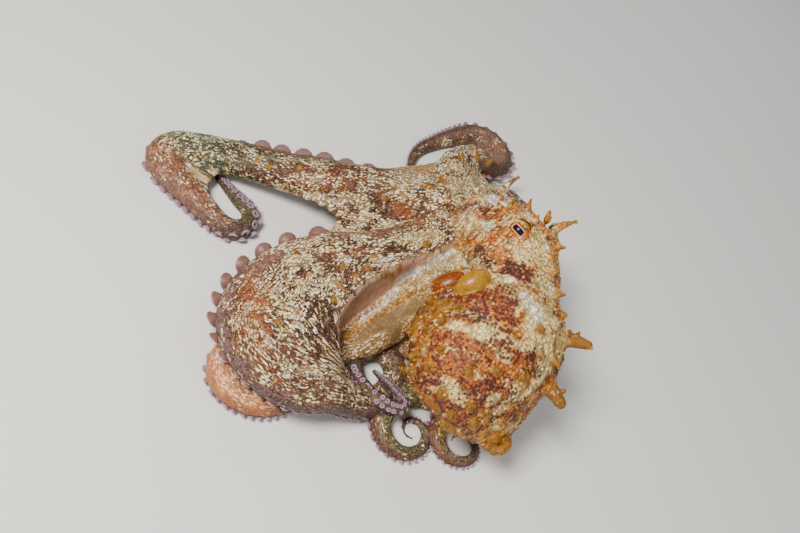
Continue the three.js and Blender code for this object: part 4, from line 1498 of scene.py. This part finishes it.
def bump(tree, height, strength, distance, under=None):
    """A Bump node's normal, laid over another normal where one is given."""
    node = add_node(tree, "ShaderNodeBump")
    feed_all(tree, node, {"Strength": strength, "Distance": distance, "Height": height})
    if under is not None:
        feed(tree, node.inputs["Normal"], under)
    return node.outputs["Normal"]


def solid(paint, dim=1.0):
    """A paint as a socket value."""
    return (*(PAINTS[paint] * dim), 1.0)


print("cream as a socket value:", solid("cream"))

# %% [markdown]
# ### Grains
#
# The back of each arm is covered with small raised grains, longer than wide, lying
# in rows. A Voronoi texture scatters one cell for each grain; squeezing the
# coordinates makes them long, and a random number for each cell decides which ones
# are pale. The group gives a mask, a tone for each grain and a height.

# %% Shader group: grains
def new_group(name, inputs, outputs):
    """An empty shader group with named sockets, and its input and output nodes."""
    group = bpy.data.node_groups.new(name, "ShaderNodeTree")
    for label, value in inputs.items():
        kind = "NodeSocketVector" if value is None else "NodeSocketFloat"
        socket = group.interface.new_socket(name=label, in_out="INPUT", socket_type=kind)
        if value is not None:
            socket.default_value = value
    for label in outputs:
        group.interface.new_socket(name=label, in_out="OUTPUT", socket_type="NodeSocketFloat")
    return group, add_node(group, "NodeGroupInput").outputs, add_node(group, "NodeGroupOutput")


def cell_pattern(tree, place, randomness):
    """Cells about one unit wide: the distance from each middle, and three chances for each."""
    cells = add_node(tree, "ShaderNodeTexVoronoi", voronoi_dimensions="3D", feature="F1")
    feed_all(tree, cells, {"Vector": place, "Scale": 1.0, "Randomness": randomness})
    chance = add_node(tree, "ShaderNodeSeparateColor")
    feed(tree, chance.inputs[0], cells.outputs["Color"])
    return cells.outputs["Distance"], chance.outputs


def tide(tree, place, scale, detail, swing):
    """A slow rise and fall about zero, swing high from its lowest to its highest."""
    centred = calc(tree, "SUBTRACT", noise_value(tree, place, scale, detail), 0.5)
    return calc(tree, "MULTIPLY", centred, swing)


def make_grains_group():
    """Pale grains in rows, on a place measured in millimetres."""
    group, given, out = new_group(
        "grains", {"Place": None, "Length": 4.2, "Width": 2.0, "Amount": 0.5},
        ("Mask", "Tone", "Bead", "Height", "Level"))
    wander = noise_value(group, given["Place"], 0.12, 1.0, output="Color")
    shifted = vector_calc(group, "SUBTRACT", wander, (0.5, 0.5, 0.5))
    shifted = vector_calc(group, "MULTIPLY", shifted, (5.0, 5.0, 0.0))
    place = vector_calc(group, "ADD", given["Place"], shifted)
    size = add_node(group, "ShaderNodeCombineXYZ")
    feed_all(group, size, {0: given["Length"], 1: given["Width"], 2: 10.0})
    distance, chance = cell_pattern(group, vector_calc(group, "DIVIDE", place, size.outputs[0]), 0.8)
    level = calc(group, "ADD", given["Amount"], tide(group, given["Place"], 0.085, 3.0, 2.9))
    level = calc(group, "MULTIPLY", level, ramp(group, given["Amount"], 0.0, 0.12))
    chosen = ramp(group, calc(group, "SUBTRACT", level, chance[0]), -0.04, 0.1)
    bead = ramp(group, distance, 0.66, 0.42)
    lighter = calc(group, "MULTIPLY", calc(group, "SUBTRACT", level, 0.75), 0.55)
    feed_all(group, out, {
        "Mask": calc(group, "MULTIPLY", chosen, bead), "Tone": calc(group, "ADD", chance[1], lighter),
        "Level": level, "Bead": bead,
        "Height": calc(group, "MULTIPLY", bead, mix_value(group, chosen, 0.35, 1.0))})
    return group


grains_group = make_grains_group()
print("grains group:", len(grains_group.nodes), "nodes")

# %% [markdown]
# ### Dots
#
# Chromatophores are tiny bags of pigment. Where they are open they show as dark
# purple dots close together, with a net of paler skin between. The dots grow with
# the painted amount until they almost touch.

# %% Shader group: dots
def make_dots_group():
    """Dark round dots that grow with the amount."""
    group, given, out = new_group("dots", {"Place": None, "Spacing": 2.4, "Amount": 0.5}, ("Mask", "Tone"))
    place = vector_calc(group, "DIVIDE", given["Place"], given["Spacing"])
    distance, chance = cell_pattern(group, place, 0.62)
    level = calc(group, "ADD", given["Amount"], tide(group, place, 0.3, 2.0, 1.1))
    odds = calc(group, "SUBTRACT", level, calc(group, "MULTIPLY", chance[0], 0.7))
    held = calc(group, "MINIMUM", calc(group, "MAXIMUM", level, 0.0), 1.0)
    edge = mix_value(group, held, 0.34, 0.68)
    dot = ramp(group, distance, edge, calc(group, "SUBTRACT", edge, 0.24))
    feed_all(group, out, {
        "Mask": calc(group, "MULTIPLY", ramp(group, odds, 0.0, 0.12), dot), "Tone": chance[1]})
    return group


dots_group = make_dots_group()
print("dots group:", len(dots_group.nodes), "nodes")

# %% [markdown]
# ## The skin's material
#
# Three helpers serve every material on the animal: one places a shared group, one
# starts a material, and one gives object places in millimetres.

# %% Material helpers
def use_group(tree, group, **values):
    """The outputs of a shared group, with its inputs set or linked."""
    node = add_node(tree, "ShaderNodeGroup")
    node.node_tree = group
    feed_all(tree, node, values)
    return node.outputs


def make_material(name, **values):
    """A material, its node tree and its Principled node, with some inputs set."""
    material = bpy.data.materials.new(name)
    material.use_nodes = True
    tree = material.node_tree
    principled = tree.nodes["Principled BSDF"]
    for label, value in values.items():
        principled.inputs[label.replace("_", " ")].default_value = value
    return material, tree, principled


def object_millimetres(tree):
    """Object coordinates in millimetres."""
    source = add_node(tree, "ShaderNodeTexCoord")
    return vector_calc(tree, "MULTIPLY", source.outputs["Object"], (1000.0, 1000.0, 1000.0))


print("material helpers ready")

# %% [markdown]
# The painted ground comes first, darker in the gaps between grains. Grains follow
# the arms' and webs' own places, and on the head and mantle they follow plain
# object places instead.

# %% Ground and grains of the skin
def skin_grains(tree, place, amount):
    """The grains of arms, webs and body, each where it belongs, by output name."""
    on_web, on_body = read_attribute(tree, "on_web"), read_attribute(tree, "on_body")
    arm = use_group(tree, grains_group, Place=read_attribute(tree, "arm_place", "Vector"),
                    Length=2.3, Width=1.3, Amount=amount)
    web = use_group(tree, grains_group, Place=read_attribute(tree, "web_place", "Vector"),
                    Length=2.2, Width=1.5, Amount=amount)
    body = use_group(tree, grains_group, Place=place, Length=2.2, Width=1.8, Amount=amount)
    grains = {}
    for label in ("Mask", "Tone", "Bead", "Height", "Level"):
        limb = mix_value(tree, on_web, arm[label], web[label])
        grains[label] = mix_value(tree, on_body, limb, body[label])
    return grains, on_body


def skin_ground(tree, grains, amount, mottle, fine):
    """The painted ground, darker between the grains and speckled with sand."""
    bead = calc(tree, "MULTIPLY", grains["Bead"], ramp(tree, amount, 0.0, 0.2))
    gap = mix_value(tree, bead, 0.46, 1.35)
    dim = calc(tree, "MULTIPLY", mix_value(tree, mottle, 0.38, 1.45), gap)
    shade = add_node(tree, "ShaderNodeCombineColor")
    feed_all(tree, shade, {0: dim, 1: dim, 2: dim})
    base = mix_colour(tree, 1.0, read_attribute(tree, "ground", "Color"), shade.outputs[0], "MULTIPLY")
    speck = calc(tree, "MULTIPLY", ramp(tree, fine, 0.52, 0.68), 0.35)
    base = mix_colour(tree, speck, base, solid("sand"))
    return mix_colour(tree, ramp(tree, grains["Level"], 0.8, 1.4, 0.0, 0.34), base, solid("sand"))


def grain_paint(tree, tone, on_body):
    """Each grain's colour: tan, the painted colour, a bright one or, rarely, ochre."""
    painted = read_attribute(tree, "grain_colour", "Color")
    pale = mix_colour(tree, ramp(tree, tone, 0.0, 0.35, 0.55, 0.0), painted, solid("tan"))
    bright = mix_colour(tree, on_body, solid("pale"), solid("butter"))
    pale = mix_colour(tree, ramp(tree, tone, 0.25, 0.75, 0.0, 0.85), pale, bright)
    return mix_colour(tree, ramp(tree, tone, 0.93, 0.96, 0.0, 0.8), pale, solid("ochre"))


print("ground and grains ready")

# %% [markdown]
# The dark dots lie over the ground and the grains. Wet skin has a soft sheen and a
# thin clear coat, and light sinks into it a little. Two bumps are laid over each
# other, for the wrinkles and for the grains.

# %% Skin material
def make_skin_material():
    """The painted, grained and dotted skin."""
    material, tree, principled = make_material(
        "octopus_skin", Subsurface_Weight=0.12, Subsurface_Radius=(1.0, 0.45, 0.25),
        Subsurface_Scale=0.0025, Coat_Weight=0.05, Coat_Roughness=0.3, IOR=1.36)
    place = object_millimetres(tree)
    amount, dot_amount, smoothness = split_vector(tree, read_attribute(tree, "amounts", "Vector"))
    grains, on_body = skin_grains(tree, place, amount)
    mottle = noise_value(tree, place, 0.16, 4.0)
    fine = noise_value(tree, place, 0.9, 3.0)
    ground = skin_ground(tree, grains, amount, mottle, fine)
    strength = calc(tree, "MULTIPLY", grains["Mask"], mix_value(tree, on_body, 0.97, 0.6))
    grained = mix_colour(tree, strength, ground, grain_paint(tree, grains["Tone"], on_body))
    dots = use_group(tree, dots_group, Place=place, Spacing=2.4, Amount=dot_amount)
    dotted = calc(tree, "MULTIPLY", dots["Mask"], ramp(tree, dot_amount, 0.02, 0.15, 0.0, 0.88))
    dot_paint = mix_colour(tree, dots["Tone"], solid("umber"), solid("wine"))
    rough = mix_value(tree, smoothness, mix_value(tree, fine, 0.46, 0.72), 0.3)
    raised = calc(tree, "MULTIPLY", grains["Height"], ramp(tree, amount, 0.0, 0.2))
    creased = calc(tree, "ADD", mottle, calc(tree, "MULTIPLY", fine, 0.35))
    creased = calc(tree, "MULTIPLY", creased, mix_value(tree, smoothness, 1.0, 0.1))
    normal = bump(tree, raised, 0.85, 0.0009, under=bump(tree, creased, 0.5, 0.0012))
    feed_all(tree, principled, {"Base Color": mix_colour(tree, dotted, grained, dot_paint),
                                "Roughness": rough, "Normal": normal})
    return material


skin_material = make_skin_material()
skin.data.materials.append(skin_material)
print("skin material:", len(skin_material.node_tree.nodes), "nodes")

# %% [markdown]
# ## Suckers
#
# Each arm carries two rows of suckers, shrinking towards the tip. A sucker is a
# small cup with a thin flared rim and a hole in the middle. One cup is modelled as a
# lathed profile, and Geometry Nodes place it on a point for every sucker, turned by
# a "facing" and scaled by a "size" kept on the point.

# %% One sucker
SUCKER_SIDES = 12
# radius and height of the cup's profile, for a rim of radius one
SUCKER_PROFILE = [(0.5, -0.6), (0.78, -0.2), (0.96, -0.06), (1.0, 0.03), (0.94, 0.1), (0.5, 0.02),
                  (0.2, -0.14)]


def lathe(name, profile, sides):
    """A profile turned round the Z axis, with its radius kept on each point as "part"."""
    turns = [2 * math.pi * k / sides for k in range(sides)]
    rows = [(radius * math.cos(turn), radius * math.sin(turn), height)
            for radius, height in profile for turn in turns]
    faces = []
    for ring in range(len(profile) - 1):
        for k in range(sides):
            a, b = ring * sides + k, ring * sides + (k + 1) % sides
            faces.append((a, b, b + sides, a + sides))
    faces.append(tuple((len(profile) - 1) * sides + k for k in range(sides)))
    faces.append(tuple(range(sides - 1, -1, -1)))
    mesh = bpy.data.meshes.new(name)
    mesh.from_pydata(rows, [], faces)
    store(mesh, "part", np.repeat([radius for radius, _ in profile], sides))
    shade_smooth(mesh)
    return bpy.data.objects.new(name, mesh)


sucker_shape = lathe("sucker_shape", SUCKER_PROFILE, SUCKER_SIDES)
print("one sucker has", len(sucker_shape.data.polygons), "faces")

# %% [markdown]
# The two rows run along each arm's underside, left and right of its middle. On the
# rolled parts of an arm they come round to the side, and their discs show beyond
# its edge.

# %% Where the suckers go
SUCKER_SHARE = 0.39  # a sucker's radius for each millimetre of the arm's
SUCKER_ROW_ANGLE = math.radians(27)
SUCKER_FIRST, SUCKER_STAGGER = 26, 4  # where the rows start, and how far one row is behind
SUCKER_SMALLEST = 0.75
# larger or smaller suckers along an arm, as (distance, scale)
SUCKER_SCALES = {
    "arm_l1": [(0, 1.3), (90, 1.5), (150, 1.5), (190, 1.0), (285, 1.0), (300, 1.3), (355, 1.3)],
    "arm_l2": [(0, 1.2), (60, 1.35), (170, 1.3), (215, 0.9), (250, 0.7), (300, 0.7), (340, 0.95),
               (460, 0.95)],
    "arm_l3": [(0, 0.9), (110, 0.66), (271, 0.66)]}
# the next five are shares of a sucker's radius
SUCKER_SPACING = 2.05
SUCKER_SPREAD, SUCKER_STAND = 0.24, 0.08  # how far the disc stands out sideways and forwards
SUCKER_TOP = 0.22
MOST_LIFT = 0.8  # a sucker that the floor would lift further is left out
FLOOR_GAP = 0.2
BURIED_FROM, BURIED_LEAN = 3.0, 0.6  # large suckers near the side can lie inside a web
GREY_FROM = {"arm_l1": 0.55}  # arms that are greyish from nearer their root


def sucker_at(rail, i, row, size):
    """The place and facing of one sucker, how far the floor lifts it, and if flesh hides it."""
    lean = rail["roll"][i] + row * SUCKER_ROW_ANGLE
    down, right = -rail["up"][i], -rail["left"][i]
    flat = lean * float(0.5 + 0.45 * smooth_step(rail["roll"][i], 1.4, 2.1))
    facing = down * math.cos(flat) + right * math.sin(flat)
    sideways = rail["half_breadth"][i] + size * SUCKER_SPREAD
    place = rail["centre"][i] + down * math.cos(lean) * rail["half_depth"][i] \
        + right * math.sin(lean) * sideways + facing * size * SUCKER_STAND
    hang = size * math.sqrt(max(0.0, 1 - facing[2] ** 2)) + max(0.0, -facing[2]) * size * SUCKER_TOP
    lift = FLOOR_GAP - (place[2] - hang)
    edge = place + right * math.sin(lean) * size
    cell = tuple(np.round((edge - FIELD_LOW) / CELL).astype(int))
    buried = size > BURIED_FROM and math.cos(lean) < BURIED_LEAN and body[cell] < 0
    return place + np.array([0, 0, max(0.0, lift)]), facing, lift, buried


def sucker_rows():
    """Place, facing, size and greyness of every sucker, in crown millimetres."""
    found = []
    for name in ARMS:
        rail = rails[name]
        scales = SUCKER_SCALES.get(name, [(0, 1.0), (1, 1.0)])
        for row in (-1, 1):
            s = SUCKER_FIRST + (SUCKER_STAGGER if row > 0 else 0)
            while s < rail["length"] - 1:
                i = int(s)
                size = SUCKER_SHARE * max(rail["radius"][i], ARM_TIP_RADIUS) * float(value_at(scales, s))
                if size < SUCKER_SMALLEST:
                    break
                place, facing, lift, buried = sucker_at(rail, i, row, size)
                if lift < size * MOST_LIFT and not buried:
                    found.append((place, facing, size, max(s / rail["length"], GREY_FROM.get(name, 0.0))))
                s += SUCKER_SPACING * size
    return [np.array(column) for column in zip(*found)]


sucker_places, sucker_facings, sucker_sizes, sucker_tints = sucker_rows()
print(len(sucker_places), "suckers, from", round(sucker_sizes.max() * 2, 1), "mm to",
      round(sucker_sizes.min() * 2, 1), "mm across")

# %% [markdown]
# Suckers and warts are both shapes set on points, so their trees share a few
# helpers. Each tree ends by making the instances real and giving them a material.

# %% Geometry Nodes: shapes on points
def new_tree(name, inputs):
    """A Geometry Nodes tree with named number inputs; also its ends and the inputs' sockets."""
    tree = bpy.data.node_groups.new(name, "GeometryNodeTree")
    tree.interface.new_socket(name="Geometry", in_out="INPUT", socket_type="NodeSocketGeometry")
    sockets = {}
    for label, value in inputs.items():
        kind = "NodeSocketInt" if isinstance(value, int) else "NodeSocketFloat"
        socket = tree.interface.new_socket(name=label, in_out="INPUT", socket_type=kind)
        socket.default_value = value
        sockets[label] = socket.identifier
    tree.interface.new_socket(name="Geometry", in_out="OUTPUT", socket_type="NodeSocketGeometry")
    return tree, add_node(tree, "NodeGroupInput").outputs, add_node(tree, "NodeGroupOutput"), sockets


def named(tree, name, kind="FLOAT"):
    """An attribute of the points, by its name."""
    node = add_node(tree, "GeometryNodeInputNamedAttribute", data_type=kind)
    node.inputs["Name"].default_value = name
    return node.outputs["Attribute"]


def set_on_points(tree, out, points, rotation, scale, shape, material):
    """Set a shape on every point, make the instances real, and dress them."""
    source = add_node(tree, "GeometryNodeObjectInfo")
    source.inputs["Object"].default_value = shape
    instances = add_node(tree, "GeometryNodeInstanceOnPoints")
    feed_all(tree, instances, {"Points": points, "Instance": source.outputs["Geometry"],
                               "Rotation": rotation, "Scale": scale})
    real = add_node(tree, "GeometryNodeRealizeInstances")
    feed(tree, real.inputs[0], instances.outputs[0])
    dressed = add_node(tree, "GeometryNodeSetMaterial")
    feed_all(tree, dressed, {"Geometry": real.outputs[0], "Material": material})
    feed(tree, out.inputs[0], dressed.outputs[0])


def run_tree(thing, tree, sockets, values):
    """Give an object a tree with its inputs set, and keep the result as a plain mesh."""
    modifier = thing.modifiers.new(tree.name, "NODES")
    modifier.node_group = tree
    for label, value in values.items():
        modifier[sockets[label]] = value
    apply_modifiers(thing)


print("tree helpers ready")

# %% [markdown]
# The suckers' tree reads "facing" and "size" from the points. Their cups are
# terracotta with a pale rim, and "tint" turns them grey lilac towards the arm's tip.
# The middle of each cup, round its hole, is dark violet as painted shade.

# %% Suckers on their points
def make_sucker_tree(shape, material, inputs):
    """A tree that sets a shape on every point, by its facing and size."""
    tree, given, out, sockets = new_tree("suckers_tree", inputs)
    turn = add_node(tree, "FunctionNodeAlignRotationToVector", axis="Z")
    feed(tree, turn.inputs["Vector"], named(tree, "facing", "FLOAT_VECTOR"))
    scale = calc(tree, "MULTIPLY", named(tree, "size"), given["Grow"])
    set_on_points(tree, out, given["Geometry"], turn.outputs[0], scale, shape, material)
    return tree, sockets


def make_sucker_material():
    """Terracotta cups with a thin pale lilac rim, greyer towards the arm's tip, with painted shade in the
    hole.
    """
    material, tree, principled = make_material(
        "sucker_skin", Subsurface_Weight=0.35, Subsurface_Radius=(1.0, 0.6, 0.5),
        Subsurface_Scale=0.003, Coat_Weight=0.12, Coat_Roughness=0.3)
    place = object_millimetres(tree)
    part, tip = read_attribute(tree, "part"), read_attribute(tree, "tint")
    cloudy = noise_value(tree, place, 0.35, 3.0)
    cup = mix_colour(tree, ramp(tree, tip, 0.45, 0.8), solid("shell"), solid("lilac", 0.7))
    cup = mix_colour(tree, ramp(tree, cloudy, 0.4, 0.7, 0.0, 0.5), cup, solid("dusk"))
    # painted shade: the cup's middle, round its hole, is darkened to a dim violet
    middle = mix_colour(tree, ramp(tree, part, 0.2, 0.5), solid("violet", 0.6), cup)
    feed_all(tree, principled, {
        "Base Color": mix_colour(tree, ramp(tree, part, 0.94, 0.995), middle, solid("lilac")),
        "Roughness": mix_value(tree, cloudy, 0.42, 0.58),
        "Normal": bump(tree, noise_value(tree, place, 1.6), 0.3, 0.0004)})
    return material


SUCKER_SETTINGS = {"Grow": 1.0}
suckers = mesh_from("suckers", sucker_places, [])
store(suckers.data, "facing", sucker_facings)
store(suckers.data, "size", sucker_sizes / 1000)
store(suckers.data, "tint", sucker_tints)
sucker_tree, sucker_sockets = make_sucker_tree(sucker_shape, make_sucker_material(), SUCKER_SETTINGS)
run_tree(suckers, sucker_tree, sucker_sockets, SUCKER_SETTINGS)
print("suckers:", len(suckers.data.polygons), "faces")

# %% [markdown]
# ## Warts
#
# Between the tall papillae the head and mantle are rough with hundreds of small
# warts. Their places need not be known one by one, so a second Geometry Nodes tree
# scatters them over the skin: "wart_share" says how thickly, a smallest gap keeps
# them apart, and a fixed seed gives the same warts each time.

# %% Geometry Nodes: warts over the skin
WART_PROFILE = [(1.0, -0.6), (0.92, 0.1), (0.62, 0.7), (0.2, 0.95)]
WART_SIDES = 7
WART_SETTINGS = {"Gap": 0.0040, "Most": 34000.0, "Smallest": 0.0008, "Largest": 0.0016, "Seed": 7}


def make_wart_tree(shape, material):
    """A tree that scatters a shape over a surface."""
    tree, given, out, sockets = new_tree("warts_tree", WART_SETTINGS)
    points = add_node(tree, "GeometryNodeDistributePointsOnFaces", distribute_method="POISSON")
    feed_all(tree, points, {
        "Mesh": given["Geometry"], "Distance Min": given["Gap"], "Density Max": given["Most"],
        "Density Factor": named(tree, "wart_share"), "Seed": given["Seed"]})
    size = add_node(tree, "FunctionNodeRandomValue", data_type="FLOAT")
    feed_all(tree, size, {2: given["Smallest"], 3: given["Largest"], "Seed": given["Seed"]})
    set_on_points(tree, out, points.outputs["Points"], points.outputs["Rotation"], size.outputs[1],
                  shape, material)
    return tree, sockets


def make_wart_material():
    """The ground colour under the wart, turning cream or ochre at its top."""
    material, tree, principled = make_material(
        "wart_skin", Roughness=0.55, Subsurface_Weight=0.12, Subsurface_Radius=(1.0, 0.45, 0.25),
        Subsurface_Scale=0.002)
    kind = noise_value(tree, object_millimetres(tree), 0.22, 1.0)
    top = mix_colour(tree, ramp(tree, kind, 0.40, 0.50), solid("cream"), solid("ochre"))
    height = ramp(tree, read_attribute(tree, "part"), 0.97, 0.5, 0.05, 0.36)
    base = mix_colour(tree, height, read_attribute(tree, "ground", "Color"), top)
    feed(tree, principled.inputs["Base Color"], base)
    return material


wart_shape = lathe("wart_shape", WART_PROFILE, WART_SIDES)
warts = link(bpy.data.objects.new("warts", skin.data.copy()))
wart_tree, wart_sockets = make_wart_tree(wart_shape, make_wart_material())
run_tree(warts, wart_tree, wart_sockets, WART_SETTINGS)
faces_each = len(wart_shape.data.polygons)
print("warts:", len(warts.data.polygons) // faces_each, "with", len(warts.data.polygons), "faces")

# %% [markdown]
# ## Eyes
#
# An octopus eye is a firm ball with a level, bar-shaped pupil. The ball is a separate
# piece, because it is hard, glossy and set under the lids. The pupil is painted by
# the shader from the ball's own directions, stored as an attribute.

# %% Eyeballs
BALL_GAP = 0.1  # the ball is this much smaller than its solid
BULGE = 0.06  # how far the clear front swells, for a ball of radius one
PUPIL_LENGTH, PUPIL_HEIGHT = 0.51, 0.235  # half the bar's, for a ball of radius one
PUPIL_DARK, PUPIL_LIGHT = (0.006, 0.003, 0.014, 1.0), (0.022, 0.010, 0.045, 1.0)


def make_eye(name):
    """One eyeball with its own pupil directions on each point."""
    work = bmesh.new()
    bmesh.ops.create_icosphere(work, subdivisions=4, radius=EYE_RADIUS - BALL_GAP)
    local = np.array([vert.co for vert in work.verts])
    mesh = bpy.data.meshes.new(name + "_ball")
    work.to_mesh(mesh)
    work.free()
    bulge = 1 + BULGE * smooth_step(local[:, 2] / EYE_RADIUS, 0.6, 1.0)
    turned = (local * bulge[:, None]) @ np.array(eye_axes(name)) + EYES[name]
    mesh.vertices.foreach_set("co", to_frame(turned).astype(np.float32).ravel())
    shade_smooth(mesh)
    store(mesh, "gaze", local / EYE_RADIUS)
    return link(bpy.data.objects.new(name + "_ball", mesh))


def make_eye_material():
    """A dark violet bar pupil with a pale rim in an amber iris."""
    material, tree, principled = make_material("eye_wet", Roughness=0.12, Specular_IOR_Level=0.14)
    x, y, z = split_vector(tree, read_attribute(tree, "gaze", "Vector"))
    wide = calc(tree, "POWER", calc(tree, "DIVIDE", calc(tree, "ABSOLUTE", x), PUPIL_LENGTH), 5.0)
    high = calc(tree, "POWER", calc(tree, "DIVIDE", calc(tree, "ABSOLUTE", y), PUPIL_HEIGHT), 4.0)
    edge = calc(tree, "ADD", wide, high)
    front = ramp(tree, z, 0.1, 0.3)
    bar, rim = (calc(tree, "MULTIPLY", ramp(tree, edge, outer, inner), front)
                for outer, inner in ((1.15, 0.85), (3.4, 2.4)))
    flecks = noise_value(tree, object_millimetres(tree), 0.9, 3.0)
    iris = mix_colour(tree, flecks, solid("amber", 0.5), solid("ochre", 0.8))
    ringed = mix_colour(tree, rim, iris, solid("peach"))
    pupil = mix_colour(tree, flecks, PUPIL_DARK, PUPIL_LIGHT)
    feed(tree, principled.inputs["Base Color"], mix_colour(tree, bar, ringed, pupil))
    return material


eye_material = make_eye_material()
eyeballs = {name: make_eye(name) for name in EYES}
for thing in eyeballs.values():
    thing.data.materials.append(eye_material)
print("eyeballs of", EYE_RADIUS * 2, "mm at", {name: place.tolist() for name, place in EYES.items()})

# %% [markdown]
# ## Floor and light
#
# A wide, flat, pale floor gives an even ground. The main lamp is small and strong and
# stands beside the camera. Two larger, weaker ones open the shadows.

# %% Floor, lamps and surroundings
FLOOR_HALF = 3.0
LAMP_AIM = Vector((0.02, 0.0, 0.04))


def make_floor():
    """A plain pale floor."""
    mesh = bpy.data.meshes.new("floor")
    corners = [(x * FLOOR_HALF, y * FLOOR_HALF, 0) for x, y in ((-1, -1), (1, -1), (1, 1), (-1, 1))]
    mesh.from_pydata(corners, [], [(0, 1, 2, 3)])
    mesh.materials.append(make_material("floor_matt", Base_Color=(0.80, 0.79, 0.77, 1.0), Roughness=0.8)[0])
    return link(bpy.data.objects.new("floor", mesh))


def add_lamp(name, place, power, size, tint=(1.0, 1.0, 1.0)):
    """A soft square lamp aimed at the animal."""
    data = bpy.data.lights.new(name, "AREA")
    data.energy = power
    data.size = size
    data.color = tint
    lamp = link(bpy.data.objects.new(name, data))
    lamp.location = place
    lamp.rotation_euler = (Vector(place) - LAMP_AIM).to_track_quat("Z", "Y").to_euler()


floor = make_floor()
add_lamp("key_lamp", (-0.30, -0.50, 0.80), 14.5, 0.28, (1.0, 0.96, 0.89))
add_lamp("fill_lamp", (0.75, -0.5, 0.6), 2.0, 0.7)
add_lamp("back_lamp", (0.2, 0.9, 0.7), 2.4, 0.6, (0.95, 0.98, 1.0))
world = bpy.data.worlds.new("studio")
bpy.context.scene.world = world
world.use_nodes = True
surroundings = world.node_tree.nodes["Background"]
surroundings.inputs["Color"].default_value = (0.88, 0.88, 0.87, 1.0)
surroundings.inputs["Strength"].default_value = 0.26

# %% [markdown]
# ## Handing the pieces over
#
# Every piece rides on the animal's one body. The skin stands for all the solids of
# flesh, and each eyeball for its own solid.

# %% Ride and replace
flesh_nodes = [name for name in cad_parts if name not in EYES]
for piece, finish in ((skin, "skin_brown"), (suckers, "skin_cream"), (warts, "skin_orange")):
    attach(piece, "root")
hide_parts(*flesh_nodes)
for name, thing in eyeballs.items():
    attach(thing, "root")
    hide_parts(name)
